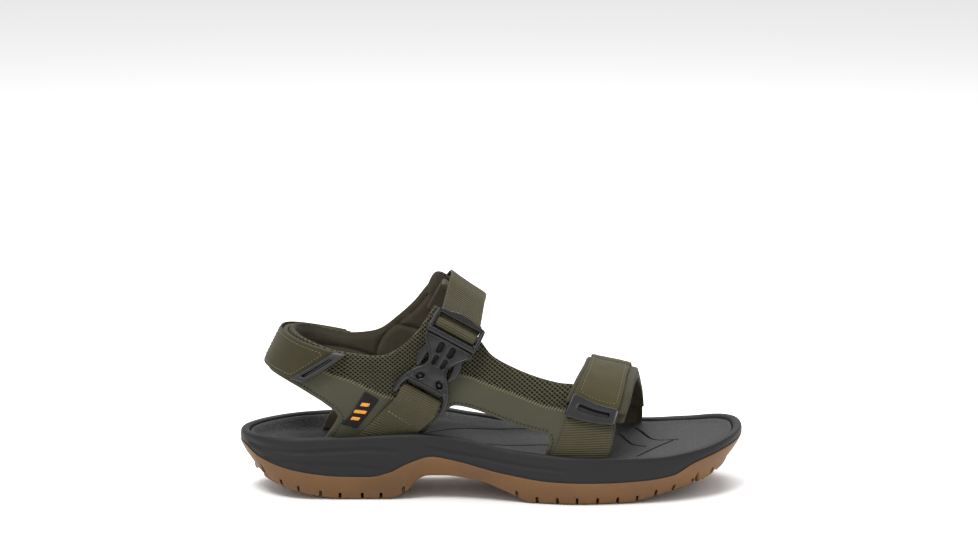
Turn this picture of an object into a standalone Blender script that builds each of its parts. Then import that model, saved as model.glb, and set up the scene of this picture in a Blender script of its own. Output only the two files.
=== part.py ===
"""Strappy sport sandal, right foot, as an assembly of separate solids.

+X runs from heel to toe, +Y from the lateral (outer) to the medial (inner) side, and +Z up.
The origin is on the ground under the middle of the sandal's box. Every length in this file is in
millimetres, and solid() turns it into metres.

The upper's layers follow one foot form: a surface that rises from the sole inside the midsole's rim,
closes round the heel and arches over the instep and the forefoot. Each textile piece is a sheet on
that form between two offsets from it, so neighbouring layers keep a gap.
"""

import math

import bmesh
import bpy
import numpy as np
from mathutils import Matrix, Vector

# Driving dimensions.
LENGTH = 300.0  # of the outsole
HALF = LENGTH / 2
GAP = 0.3  # between neighbouring solids
WALL_INSET = 12.5  # from the sole's edge in to the foot form
RIM_INSET = 5.3  # from the sole's edge in to the rim's inner wall
FOOTBED_INSET = 13.2
WEBBING_WIDTH = 25.4
WEBBING_THICKNESS = 1.2

# Layers of the upper: how far their inner and outer faces stand off the foot form.
LINING = (0.0, 0.9)
MESH = (1.2, 3.0)
PAD = (0.0, 3.0)
OVERLAY = (3.4, 4.2)
WEBBING = (4.6, 5.8)
HOOK = (6.1, 6.8)
FLAP = (7.1, 8.3)

# The foot form.
FORM_POWER = 2.3  # of its superellipse sections
HEEL_X = -85.0  # where the round of the heel begins
QUARTER_ARC = 54.5  # pattern length from there to the back seam
BACK_SEAM = HEEL_X - QUARTER_ARC

COLOURS = {
    "rubber": ((0.160, 0.080, 0.036), 0.55),
    "foam": ((0.035, 0.035, 0.035), 0.75),
    "footbed": ((0.085, 0.085, 0.085), 0.85),
    "synthetic": ((0.090, 0.086, 0.058), 0.70),
    "mesh": ((0.050, 0.047, 0.028), 0.90),
    "lining": ((0.060, 0.050, 0.033), 0.90),
    "webbing": ((0.100, 0.090, 0.052), 0.85),
    "hook": ((0.020, 0.020, 0.018), 0.95),
    "plastic": ((0.018, 0.018, 0.019), 0.40),
    "label": ((0.012, 0.012, 0.012), 0.80),
    "nylon": ((0.300, 0.300, 0.290), 0.45),
}


def smooth_table(rows):
    """A smooth function through rows of (x, value) that never overshoots and is flat past both ends."""
    xs, ys = np.array(rows, float).T
    steps = np.diff(xs)
    slopes = np.diff(ys) / steps
    tangents = np.zeros(len(xs))
    for i in range(1, len(steps)):
        before, after = slopes[i - 1], slopes[i]
        if before * after > 0:
            w1, w2 = 2 * steps[i] + steps[i - 1], steps[i] + 2 * steps[i - 1]
            tangents[i] = (w1 + w2) / (w1 / before + w2 / after)

    def value(x):
        x = np.clip(x, xs[0], xs[-1])
        i = np.clip(np.searchsorted(xs, x) - 1, 0, len(steps) - 1)
        t = (x - xs[i]) / steps[i]
        rise = t * t * (3 - 2 * t)
        bend = t * (1 - t) ** 2 * tangents[i] + t * t * (t - 1) * tangents[i + 1]
        return ys[i] + rise * (ys[i + 1] - ys[i]) + bend * steps[i]

    return value


# Sole: half widths to each side of the X axis, before the ends close, and heights along each edge.
SOLE_LATERAL = smooth_table([
    (-150, 34), (-112, 35.5), (-75, 36.5), (-30, 39.5), (10, 47), (50, 54), (85, 51), (115, 46),
    (150, 44),
])
SOLE_MEDIAL = smooth_table([
    (-150, 34), (-112, 35.5), (-75, 34), (-30, 30.5), (10, 38), (45, 49), (75, 54), (110, 52), (150, 50),
])
RIM_LATERAL = smooth_table([
    (-150, 37), (-90, 38.5), (-45, 40.5), (-20, 38.5), (10, 32.5), (60, 29), (95, 28.5), (120, 31),
    (150, 36),
])
RIM_MEDIAL = smooth_table([
    (-150, 37), (-90, 40), (-40, 43), (-10, 38), (16, 32.5), (60, 30), (95, 29), (120, 31), (150, 36),
])
BOUNDARY_LATERAL = smooth_table([
    (-150, 31), (-139, 25), (-120, 19), (-90, 15), (-74, 14.8), (-62, 17.5), (-51, 23), (-37, 27.3), (-24, 25.2),
    (3, 18.7), (32, 14.6), (66, 14), (85, 14.6), (104, 16.8), (117, 23), (132, 27.5), (143, 30.3), (150, 31.8),
])
BOUNDARY_MEDIAL = smooth_table([
    (-150, 31), (-139, 25), (-120, 19), (-90, 15.5), (-74, 16), (-60, 20), (-38, 29), (-10, 26), (20, 19),
    (45, 15), (75, 14), (104, 16.8), (117, 23), (132, 27.5), (143, 30.3), (150, 31.8),
])
BOTTOM = smooth_table([
    (-150, 21), (-139, 12.5), (-120, 5), (-100, 1), (-92, 0), (-64, 0), (-57, 1.8), (-50, 6.5),
    (-46, 11.5), (-40, 14.3), (-30, 14.5), (-12, 12.3), (8, 5), (20, 0), (78, 0), (95, 3.5), (106, 5.8),
    (121, 9), (135, 14.5), (150, 23),
])

HEEL_ROUND = 40.0  # length of the heel's round end
TOE_ROUND = 60.0
TOE_POWER = 2.3
TOE_TIP_Y = 12.0


def sole_edge(x, side):
    """Y of the sole's edge at x: side is -1 on the lateral side and 1 on the medial side."""
    half = SOLE_LATERAL(x) if side < 0 else SOLE_MEDIAL(x)
    if x < -HALF + HEEL_ROUND:
        reach = (-HALF + HEEL_ROUND - x) / HEEL_ROUND
        return side * half * math.sqrt(max(1 - reach**2, 0))
    if x > HALF - TOE_ROUND:
        reach = (x - HALF + TOE_ROUND) / TOE_ROUND
        closing = max(1 - reach**TOE_POWER, 0) ** (1 / TOE_POWER)
        return TOE_TIP_Y + (side * half - TOE_TIP_Y) * closing
    return side * half


STATIONS = [-HALF + LENGTH * (1 - math.cos(math.pi * j / 34)) / 2 for j in range(35)]


def sole_ring(inset):
    """The sole's outline moved in by inset: heel tip, lateral stations, toe tip, medial stations back."""
    lateral = [(x, sole_edge(x, -1)) for x in STATIONS[1:-1]]
    medial = [(x, sole_edge(x, 1)) for x in STATIONS[1:-1]]
    ring = np.array([(-HALF, 0.0)] + lateral + [(HALF, TOE_TIP_Y)] + medial[::-1])
    along = np.roll(ring, -1, axis=0) - np.roll(ring, 1, axis=0)
    inward = np.stack([-along[:, 1], along[:, 0]], axis=1)
    return ring + inset * inward / np.linalg.norm(inward, axis=1)[:, None]


def across_sole(x, y, lateral, medial):
    """A height between the lateral and the medial edge's own, by the place across the sole."""
    x = min(max(x, -HALF + 2), HALF - 2)
    low, high = sole_edge(x, -1), sole_edge(x, 1)
    share = min(max((y - low) / (high - low), 0), 1)
    return lateral(x) * (1 - share) + medial(x) * share


def rim_height(x, y):
    return across_sole(x, y, RIM_LATERAL, RIM_MEDIAL)


def boundary_height(x, y):
    return across_sole(x, y, BOUNDARY_LATERAL, BOUNDARY_MEDIAL)


FOOTBED_TOP = smooth_table([
    (-150, 32), (-110, 30.5), (-60, 33), (-30, 35.5), (10, 30), (60, 26.8), (95, 26.5), (120, 28.5),
    (150, 33),
])
FOOTBED_THICKNESS = 4.5
OUTSOLE_THICKNESS = 5.0
DISH = smooth_table([(-150, 0), (-120, 3), (-60, 2.5), (0, 1.5), (60, 1.0), (110, 0.5), (150, 0)])


def footbed_height(x, y):
    """The footbed's top: lower than the rim, dished along its middle, and raised at the arch."""
    x_in = min(max(x, -HALF + 2), HALF - 2)
    low, high = sole_edge(x_in, -1), sole_edge(x_in, 1)
    side = (2 * y - low - high) / (high - low)
    arch = 3.0 * max(side, 0) ** 2 * math.exp(-(((x + 35) / 40) ** 2))
    return FOOTBED_TOP(x) + arch - DISH(x) * (1 - min(abs(side), 1) ** 2)


def recess_floor(x, y):
    return footbed_height(x, y) - FOOTBED_THICKNESS - GAP


def midsole_underside(x, y):
    """Where the midsole's underside and the outsole's inside meet, away from the edge."""
    return min(BOTTOM(x) + OUTSOLE_THICKNESS, boundary_height(x, y) - 0.5)


def lifted(ring, height):
    return [(x, y, height(x, y)) for x, y in ring]


# ---- making solids -------------------------------------------------------------------------------


def material(name):
    made = bpy.data.materials.get(name)
    if made is None:
        made = bpy.data.materials.new(name)
        made.use_nodes = True
        colour, roughness = COLOURS[name]
        shader = made.node_tree.nodes["Principled BSDF"]
        shader.inputs["Base Color"].default_value = (*colour, 1)
        shader.inputs["Roughness"].default_value = roughness
        made.diffuse_color = (*colour, 1)
    return made


def solid(name, points, faces, finish):
    """One closed object from points in millimetres and faces, with its normals pointing out."""
    mesh = bpy.data.meshes.new(name)
    mesh.from_pydata([Vector(p) * 0.001 for p in points], [], [list(f) for f in faces])
    shape = bmesh.new()
    shape.from_mesh(mesh)
    bmesh.ops.remove_doubles(shape, verts=shape.verts, dist=1e-6)
    bmesh.ops.triangulate(shape, faces=shape.faces)
    bmesh.ops.recalc_face_normals(shape, faces=shape.faces)
    shape.to_mesh(mesh)
    shape.free()
    mesh.shade_smooth()
    mesh.set_sharp_from_angle(angle=math.radians(35))
    made = bpy.data.objects.new(name, mesh)
    made.data.materials.append(material(finish))
    bpy.context.scene.collection.objects.link(made)
    return made


def stacked_rings(name, rings, finish):
    """A closed solid through a stack of sole rings, capped across at both ends."""
    count = len(rings[0])
    points = [p for ring in rings for p in ring]
    faces = []
    for level in range(len(rings) - 1):
        for k in range(count):
            following = (k + 1) % count
            a, b = level * count, (level + 1) * count
            faces.append((a + k, a + following, b + following, b + k))
    for start in (0, (len(rings) - 1) * count):
        for k in range(count // 2):
            mirrored, after = (count - k) % count, count - k - 1
            corners = [start + k, start + k + 1, start + after, start + mirrored]
            faces.append(list(dict.fromkeys(corners)))
    return solid(name, points, faces, finish)


def shell(name, points, normals, faces, layer, finish):
    """A closed solid from a sheet: its faces at both offsets of layer, and walls along its open edges."""
    points, normals = np.array(points, float), np.array(normals, float)
    count = len(points)
    both = np.concatenate([points + normals * layer[1], points + normals * layer[0]])
    edges = {}
    for face in faces:
        for a, b in zip(face, list(face[1:]) + [face[0]]):
            edges.setdefault((min(a, b), max(a, b)), []).append((a, b))
    walls = [(uses[0][1], uses[0][0], uses[0][0] + count, uses[0][1] + count) for uses in edges.values() if len(uses) == 1]
    inner = [[i + count for i in face][::-1] for face in faces]
    return solid(name, both, [list(f) for f in faces] + inner + walls, finish)


def grid_faces(rows, columns):
    return [
        (r * columns + c, r * columns + c + 1, (r + 1) * columns + c + 1, (r + 1) * columns + c)
        for r in range(rows - 1)
        for c in range(columns - 1)
    ]


def smooth_curve(points, spacing):
    """Points about spacing apart along a smooth curve through the given ones."""
    given = np.array(points, float)
    if len(given) == 2:
        padded = np.array([2 * given[0] - given[1], *given, 2 * given[1] - given[0]])
    else:
        padded = np.array([2 * given[0] - given[1], *given, 2 * given[-1] - given[-2]])
    made = []
    for i in range(1, len(padded) - 2):
        p0, p1, p2, p3 = padded[i - 1 : i + 3]
        pieces = max(1, round(np.linalg.norm(p2 - p1) / spacing))
        for t in np.arange(pieces) / pieces:
            made.append(0.5 * (2 * p1 + (p2 - p0) * t + (2 * p0 - 5 * p1 + 4 * p2 - p3) * t**2 + (3 * p1 - p0 - 3 * p2 + p3) * t**3))
    return made + [given[-1]]


# ---- the foot form -------------------------------------------------------------------------------

CENTRE = smooth_table([(-90, 0), (-30, 3), (20, 5), (70, 4)])
FLARE = smooth_table([(-120, 7), (-40, 7), (0, 4), (40, 1.5), (80, 1.0)])
TOP = smooth_table([
    (-85, 182), (-60, 157), (-26.6, 125.5), (-4, 109.5), (20, 94), (40, 81), (57.7, 70), (82.3, 64),
    (110, 58),
])
BASE = smooth_table([(-60, 42), (0, 38), (60, 30), (110, 28)])


def form_half_width(x, z, side):
    """From the form's centre to its wall at height z, which flares out above the sole."""
    wall = SOLE_LATERAL(x) + CENTRE(x) if side < 0 else SOLE_MEDIAL(x) - CENTRE(x)
    rise = min(max((z - 36) / 34, 0), 1)
    return wall - WALL_INSET + FLARE(x) * rise * rise * (3 - 2 * rise)


def heel_depth(z):
    """From where the heel's round begins to the back of the form."""
    return 41.5 - 0.448 * min(max(z - 80.5, -60), 40)


def form_room(x, z):
    """1 low on the form's walls, 0 on its ridge and its back, and negative outside it."""
    over = max(z - BASE(x), 0) / (TOP(x) - BASE(x))
    behind = max(HEEL_X - x, 0) / heel_depth(z)
    return 1 - over**FORM_POWER - behind**2


def form_point(x, z, side):
    share = max(form_room(x, z), 0) ** (1 / FORM_POWER)
    return np.array([x, CENTRE(x) + side * form_half_width(x, z, side) * share, z])


def form_level(p):
    x, y, z = p
    side = -1 if y < CENTRE(x) else 1
    out = abs(y - CENTRE(x)) / form_half_width(x, z, side)
    return out**FORM_POWER - form_room(x, z)


def form_normal(p):
    """Outward normal of the form, from the slope of its implicit function."""
    step = 0.2
    slope = [form_level(p + step * axis) - form_level(p - step * axis) for axis in np.eye(3)]
    return np.array(slope) / np.linalg.norm(slope)


def pattern_point(s, z, side):
    """A point of a flat pattern laid on the form: s is x as far back as the heel's round, then arc length."""
    if s >= HEEL_X:
        return form_point(s, z, side)
    angle = min((HEEL_X - s) / QUARTER_ARC, 1) * math.pi / 2
    room = max(form_room(HEEL_X, z), 0)
    x = HEEL_X - heel_depth(z) * math.sqrt(room) * math.sin(angle)
    half = form_half_width(x, z, side) * room ** (1 / FORM_POWER) * math.cos(angle) ** (2 / FORM_POWER)
    return np.array([x, CENTRE(x) + side * half, z])


def panel(name, edges, side, layer, finish, cell=8.0):
    """A sheet cut to a flat outline, which is a list of smooth edges that meet at corners, and laid on the form."""
    outline = [p for edge in edges for p in smooth_curve(edge, cell * 0.6)[:-1]]
    sheet = bmesh.new()
    sheet.faces.new([sheet.verts.new((s, 0, z)) for s, z in outline])
    low, high = np.min(outline, axis=0), np.max(outline, axis=0)
    for axis, direction in ((0, (1, 0, 0)), (1, (0, 0, 1))):
        for cut in np.arange(math.ceil(low[axis] / cell), high[axis] / cell) * cell:
            geometry = sheet.verts[:] + sheet.edges[:] + sheet.faces[:]
            bmesh.ops.bisect_plane(sheet, geom=geometry, dist=0.4, plane_co=Vector(direction) * cut, plane_no=direction)
    bmesh.ops.triangulate(sheet, faces=sheet.faces)
    sheet.verts.index_update()
    points = [pattern_point(v.co.x, v.co.z, side) for v in sheet.verts]
    faces = [[v.index for v in face.verts] for face in sheet.faces]
    sheet.free()
    return shell(name, points, [form_normal(p) for p in points], faces, layer, finish)


class Loop:
    """A strap's way round the form: the form's section by planes that hold the Y axis and the strap's direction.

    q is the place across the strap, and arc the length along its middle from the crown, negative on
    the lateral side.
    """

    def __init__(self, crown, down, reach):
        self.crown = np.array(crown, float)
        self.down = np.array(down, float) / np.linalg.norm(down)
        self.across = np.array([-self.down[1], self.down[0]])
        self.reach = reach
        self.arcs = {side: self._measure(side) for side in (-1, 1)}

    def _flat(self, q, p):
        return self.crown + q * self.across + p * self.down

    def _ridge(self, q):
        """Where the plane at q meets the form's ridge."""
        outside, inside = -30.0, 30.0
        for _ in range(40):
            middle = (outside + inside) / 2
            if form_room(*self._flat(q, middle)) > 0:
                inside = middle
            else:
                outside = middle
        return inside

    def _at(self, q, share, side):
        start = self._ridge(q)
        return form_point(*self._flat(q, start + (self.reach - start) * share**FORM_POWER), side)

    def _measure(self, side):
        shares = np.linspace(0, 1, 120)
        points = np.array([self._at(0, share, side) for share in shares])
        steps = np.linalg.norm(np.diff(points, axis=0), axis=1)
        return shares, np.concatenate([[0], np.cumsum(steps)])

    def point(self, q, arc):
        side = -1 if arc < 0 else 1
        shares, lengths = self.arcs[side]
        return self._at(q, np.interp(abs(arc), lengths, shares), side)

    def length(self, side):
        return self.arcs[side][1][-1]


HEEL_LOOP = Loop((-124.0, 85.0), (0.97, -0.22), 60)
INSTEP_LOOP = Loop((-17.5, 118.0), (-0.445, -0.895), 102)


class Band:
    """A strap's way over the forefoot, which leans forward from the lateral to the medial side.

    Its cross lines keep to one angle round the form: 0 on the ridge, a quarter turn where the walls
    begin, and further down them past that. q and arc are as a loop's.
    """

    def __init__(self, rows, half_width):
        self.rear = smooth_table([(angle, rear) for angle, rear, _ in rows])
        self.front = smooth_table([(angle, front) for angle, _, front in rows])
        self.half_width = half_width
        self.angles = np.linspace(rows[0][0], rows[-1][0], 240)
        points = np.array([self._at(0, angle) for angle in self.angles])
        lengths = np.concatenate([[0], np.cumsum(np.linalg.norm(np.diff(points, axis=0), axis=1))])
        self.lengths = lengths - np.interp(0, self.angles, lengths)

    def _at(self, q, angle):
        share = (q / self.half_width + 1) / 2
        x = self.rear(angle) * (1 - share) + self.front(angle) * share
        side = -1 if angle < 0 else 1
        turn = math.radians(min(abs(angle), 90))
        z = BASE(x) + (TOP(x) - BASE(x)) * math.cos(turn) ** (2 / FORM_POWER)
        return form_point(x, z - max(abs(angle) - 90, 0) * 0.4, side)

    def point(self, q, arc):
        return self._at(q, np.interp(arc, self.lengths, self.angles))


# Angle round the form, and where the band's rear and front edges are at it.
FOREFOOT_LOOP = Band(
    [
        (-105, 34, 65), (-88, 37.5, 66.3), (-70, 43, 70), (-45, 49, 75.5), (-15, 55.5, 80), (0, 58, 82.5),
        (30, 62.5, 85.5), (60, 65, 89), (85, 64, 90), (105, 61.5, 88),
    ],
    13.0,
)


def strap(name, loop, start, end, edges, layer, finish, spacing=5.0, columns=4, skew=(0.0, 0.0)):
    """A band on the form between two arcs of a loop. edges is its two q, and skew slants each end."""
    rows = max(2, round(abs(end - start) / spacing)) + 1
    points = []
    for share in np.linspace(0, 1, rows):
        slant = skew[0] * (1 - share) + skew[1] * share
        for q in np.linspace(*edges, columns):
            points.append(loop.point(q, start + (end - start) * share + slant * q))
    return shell(name, points, [form_normal(p) for p in points], grid_faces(rows, columns), layer, finish)


def webbing(name, rows, finish="webbing", thickness=WEBBING_THICKNESS, spacing=3.0):
    """Webbing whose middle surface runs smoothly through rows of points, each row straight across it."""
    columns = len(rows[0])
    flat = np.array(rows, float).reshape(len(rows), -1)
    middle = np.array(smooth_curve(flat, spacing * math.sqrt(columns))).reshape(-1, columns, 3)
    along = np.gradient(middle, axis=0)
    across = np.gradient(middle, axis=1)
    normals = np.cross(along, across)
    normals /= np.linalg.norm(normals, axis=2)[:, :, None]
    faces = grid_faces(len(middle), columns)
    layer = (-thickness / 2, thickness / 2)
    return shell(name, middle.reshape(-1, 3), normals.reshape(-1, 3), faces, layer, finish)


# ---- sole unit -----------------------------------------------------------------------------------

LUG_CUTS = [-127, -116, -102.5, -91, -78, -67, -54, 12, 23.5, 35.5, 47.5, 60, 72, 83.5, 95, 106, 118, 131]
LUG_CUT_WIDTH = 1.8
LUG_CUT_DEPTH = 4.0


def make_outsole():
    """Cupped rubber outsole whose edge wraps up the midsole, with sipes across its ground edges."""
    rings = [
        lifted(sole_ring(20), lambda x, y: BOTTOM(x)),
        lifted(sole_ring(8), lambda x, y: BOTTOM(x)),
        lifted(sole_ring(4.5), lambda x, y: BOTTOM(x) + 0.8),
        lifted(sole_ring(1.2), lambda x, y: BOTTOM(x) * 0.55 + boundary_height(x, y) * 0.45 - 1.0),
        lifted(sole_ring(0), boundary_height),
        lifted(sole_ring(3), boundary_height),
        lifted(sole_ring(6), midsole_underside),
        lifted(sole_ring(20), midsole_underside),
    ]
    outsole = stacked_rings("outsole", rings, "rubber")
    cutter = bmesh.new()
    for x in LUG_CUTS:
        for side in (-1, 1):
            place = (x, sole_edge(x, side) - side * 3.0, BOTTOM(x) + LUG_CUT_DEPTH / 2 - 1.5)
            size = (LUG_CUT_WIDTH, 12.0, LUG_CUT_DEPTH + 3.0)
            matrix = Matrix.Translation(Vector(place) * 0.001) @ Matrix.Diagonal((*(0.001 * s for s in size), 1))
            bmesh.ops.create_cube(cutter, size=1, matrix=matrix)
    mesh = bpy.data.meshes.new("lug_cutter")
    cutter.to_mesh(mesh)
    cutter.free()
    cut_object = bpy.data.objects.new("lug_cutter", mesh)
    bpy.context.scene.collection.objects.link(cut_object)
    cut_object.hide_render = True
    cut_object.display_type = "WIRE"
    cut = outsole.modifiers.new("sipes", "BOOLEAN")
    cut.object = cut_object


# Inserts that lie in pockets under the footbed: centre, half lengths, and bottom and top heights.
INSERTS = {
    "heel_cushion_pad": ((-78.0, 0.0), (26.0, 16.0), (16.0, 22.0), "nylon"),
    "shank": ((-14.0, 1.0), (34.0, 9.0), (21.2, 22.8), "nylon"),
}


def insert(name, grow, low, high, finish, count=24):
    """A flat pad or plate with a rounded outline, made larger by grow all round."""
    (cx, cy), (rx, ry), _, _ = INSERTS[name]
    outline = []
    for k in range(count):
        c, s = math.cos(2 * math.pi * k / count), math.sin(2 * math.pi * k / count)
        round_x, round_y = math.copysign(abs(c) ** 0.7, c), math.copysign(abs(s) ** 0.7, s)
        outline.append((cx + (rx + grow) * round_x, cy + (ry + grow) * round_y))
    points = [(x, y, z) for z in (low, high) for x, y in outline]
    walls = [(k, (k + 1) % count, (k + 1) % count + count, k + count) for k in range(count)]
    return solid(name, points, walls + [list(range(count))[::-1], list(range(count, 2 * count))], finish)


def make_midsole():
    """Foam midsole: flared side wall, rounded rim, recess for the footbed, and a pocket for each insert."""
    rings = [
        lifted(sole_ring(20), lambda x, y: midsole_underside(x, y) + GAP),
        lifted(sole_ring(6), lambda x, y: midsole_underside(x, y) + GAP),
        lifted(sole_ring(3), lambda x, y: boundary_height(x, y) + GAP),
        lifted(sole_ring(0.6), lambda x, y: boundary_height(x, y) + GAP),
        lifted(sole_ring(0.4), lambda x, y: (boundary_height(x, y) + rim_height(x, y)) / 2),
        lifted(sole_ring(1.4), lambda x, y: rim_height(x, y) - 2.0),
        lifted(sole_ring(3.4), rim_height),
        lifted(sole_ring(RIM_INSET), lambda x, y: rim_height(x, y) - 0.8),
        lifted(sole_ring(RIM_INSET + 0.4), recess_floor),
        lifted(sole_ring(20), recess_floor),
    ]
    midsole = stacked_rings("midsole", rings, "foam")
    for name, (_, _, (low, high), finish) in INSERTS.items():
        insert(name, 0.0, low, high, finish)
        cutter = insert(name, GAP, low - GAP, high + 20, "foam")
        cutter.name = name + "_pocket_cutter"
        cutter.hide_render = True
        cutter.display_type = "WIRE"
        cut = midsole.modifiers.new(name, "BOOLEAN")
        cut.object = cutter


def make_footbed():
    """Footbed that fills the recess between the strap ends, dished and raised at the arch."""
    rings = [
        lifted(sole_ring(22), lambda x, y: footbed_height(x, y) - FOOTBED_THICKNESS),
        lifted(sole_ring(FOOTBED_INSET), lambda x, y: footbed_height(x, y) - FOOTBED_THICKNESS),
        lifted(sole_ring(FOOTBED_INSET), lambda x, y: footbed_height(x, y) - 0.6),
        lifted(sole_ring(FOOTBED_INSET + 1.0), footbed_height),
        lifted(sole_ring(22), footbed_height),
    ]
    stacked_rings("footbed", rings, "footbed")


# ---- side panels ---------------------------------------------------------------------------------
# Each edge is a list of (s, z) on the flat pattern, smooth from end to end. Edges meet at corners.

# Each is given for the lateral side, -1, and the medial side, 1.

COLLAR_TOP = {
    -1: [
        (BACK_SEAM, 97), (-126, 96.5), (-110, 94), (-94, 90), (-82, 88), (-70, 86.5), (-61, 88),
        (-50, 95.5), (-42, 104.5), (-35, 114.5),
    ],
    1: [
        (BACK_SEAM, 97), (-126, 96.5), (-110, 94), (-96, 90), (-87, 88), (-75, 88.5), (-66, 91),
        (-57, 98), (-47, 107.5), (-39, 118),
    ],
}
INSTEP_END = {-1: [(-35, 114.5), (-14, 100.5)], 1: [(-39, 118), (-31.5, 127), (-8, 109.5)]}
VAMP_TOP = {
    -1: [(-14, 100.5), (-7.5, 92.5), (-1, 85), (11.6, 78), (25, 72.5), (37, 68.8), (45, 67.3)],
    1: [
        (-8, 109.5), (-13, 98), (-16, 88), (-12, 79), (0, 70.5), (11.6, 64), (25, 58.5), (40, 54),
        (59, 51.5),
    ],
}
HEEL_BOTTOM = {
    -1: [(-92, 56.5), (-97.5, 61.5), (-108, 67.5), (-122, 71.5), (BACK_SEAM, 73)],
    1: [(-90.5, 57), (-96, 62), (-107, 67.5), (-122, 71.5), (BACK_SEAM, 73)],
}
LEG_REAR = {
    -1: [(-94.5, 29), (-93.2, 36), (-90.2, 45.5), (-89.2, 51.5), (-92, 56.5)],
    1: [(-94, 30), (-92.5, 38), (-89, 46), (-88, 52), (-90.5, 57)],
}
LEG_FRONT = {
    -1: [(-28.6, 54.5), (-35.4, 46.5), (-41.9, 39.2), (-48, 31.8)],
    1: [(-31, 49), (-37, 43), (-42, 37.5), (-47, 32)],
}
ARCH_TOP = {
    -1: [(39, 42.6), (31.6, 41.3), (13.6, 46), (-5.2, 53.5), (-16.4, 57), (-24.2, 57.8), (-28.6, 54.5)],
    1: [(57, 39), (40, 40.5), (13.6, 44), (-5.2, 49), (-16.4, 52), (-25, 52.5), (-31, 49)],
}
MESH_BOTTOM = {
    -1: [
        (40.5, 46.5), (25, 51.5), (5, 60.5), (-15, 66.5), (-40, 61.5), (-70, 57.5), (-95, 66), (-120, 74),
        (BACK_SEAM, 76),
    ],
    1: [
        (58, 43.5), (40, 45), (25, 47.5), (5, 52.5), (-15, 57), (-40, 56), (-65, 57.5), (-93, 66),
        (-118, 74), (BACK_SEAM, 76),
    ],
}
OVERLAY_TOP = {
    -1: [
        (BACK_SEAM, 93), (-125, 91), (-108, 84), (-95.5, 77.5), (-86, 73.5), (-77, 69.5), (-62, 63.5),
        (-48, 61.5), (-37, 65.5), (-29.8, 69.5), (-27, 73.5), (-20.8, 75.5), (-12.9, 73.7), (-5, 70.3),
        (13.7, 63.4), (28, 57.7), (44, 54), (56, 53.5), (70, 53.5),
    ],
    1: [
        (BACK_SEAM, 93), (-125, 91), (-108, 84), (-95.5, 77.5), (-86, 73.5), (-77, 69.5), (-62, 63.5),
        (-48, 62), (-37, 64), (-27, 66), (-16, 65.5), (-5, 62.5), (13.7, 55), (28, 50), (44, 47.5),
        (62, 48), (80, 50), (90, 51),
    ],
}
OVERLAY_FRONT = {
    -1: [(70, 53.5), (70, 44.5), (68.8, 36.8), (66.5, 27), (65.2, 23.8)],
    1: [(90, 51), (92, 44), (91, 36.8), (88.5, 27), (87.5, 23.6)],
}
OVERLAY_TOE_LEG = {
    -1: [(29, 25.2), (30.4, 30.7), (32.6, 36.8), (31.6, 41.3)],
    1: [(55, 24.4), (57, 29), (58.5, 34), (57, 39)],
}


def joined_up(edges):
    """Edges that start where the one before ends, with a straight one wherever they don't."""
    closed = []
    for edge, following in zip(edges, edges[1:] + edges[:1]):
        closed.append(edge)
        if edge[-1] != following[0]:
            closed.append([edge[-1], following[0]])
    return closed


def seam_clear(edges):
    """Edges with a little room at the back seam, where the two sides butt together."""
    return [[(max(s, BACK_SEAM + 0.5), z) for s, z in edge] for edge in edges]


def make_quarter(side):
    """One side of the upper: soft lining, mesh body and the smooth overlay that carries its legs."""
    prefix = "lateral" if side < 0 else "medial"
    top = [COLLAR_TOP[side], INSTEP_END[side], VAMP_TOP[side]]
    legs = [LEG_FRONT[side], LEG_REAR[side], HEEL_BOTTOM[side]]
    arch = ARCH_TOP[side]
    overlay_arch = [arch[0] if side > 0 else arch[1], *arch[2:]]
    lining = [*top, arch, *legs]
    mesh = [*top, MESH_BOTTOM[side]]
    overlay = [OVERLAY_TOP[side], OVERLAY_FRONT[side], OVERLAY_TOE_LEG[side], overlay_arch, *legs]
    for kind, edges, layer, finish in (
        ("lining", lining, LINING, "lining"),
        ("mesh", mesh, MESH, "mesh"),
        ("overlay", overlay, OVERLAY, "synthetic"),
    ):
        panel(f"{prefix}_{kind}", seam_clear(joined_up(edges)), side, layer, finish)


# ---- straps --------------------------------------------------------------------------------------

HEEL_BAND = (-11.3, 11.2)
HEEL_FLAP_END = -36.0
HEEL_SKEW = -0.7
FOREFOOT_BAND = (-17.5, 16.0)
FOREFOOT_FLAP = (-15.5, 11.0)
FOREFOOT_FLAP_END = -44.5
SEAM_GAP = 0.6  # between a flap's root and the fixed strap it grows from


def make_heel_strap():
    """Loop-faced band round the heel, the fixed strap on its medial side and the flap on its lateral side."""
    strap("heel_loop_strap", HEEL_LOOP, -42, 52, HEEL_BAND, WEBBING, "webbing", skew=(HEEL_SKEW, 0))
    strap("heel_strap_medial", HEEL_LOOP, SEAM_GAP, 50, HEEL_BAND, FLAP, "synthetic")
    end, slant = HEEL_FLAP_END, HEEL_SKEW
    strap("heel_flap", HEEL_LOOP, end, -SEAM_GAP, HEEL_BAND, FLAP, "synthetic", skew=(slant, 0))
    strap("heel_hook_patch", HEEL_LOOP, end + 1.5, -12, (-9.8, 9.7), HOOK, "hook", skew=(slant, 0))
    tab = (FLAP[0], FLAP[1] + 0.8)
    strap("heel_pull_tab", HEEL_LOOP, end - 6.6, end - 0.4, (-11.3, 11.2), tab, "plastic", spacing=3, skew=(slant, slant))


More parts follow.
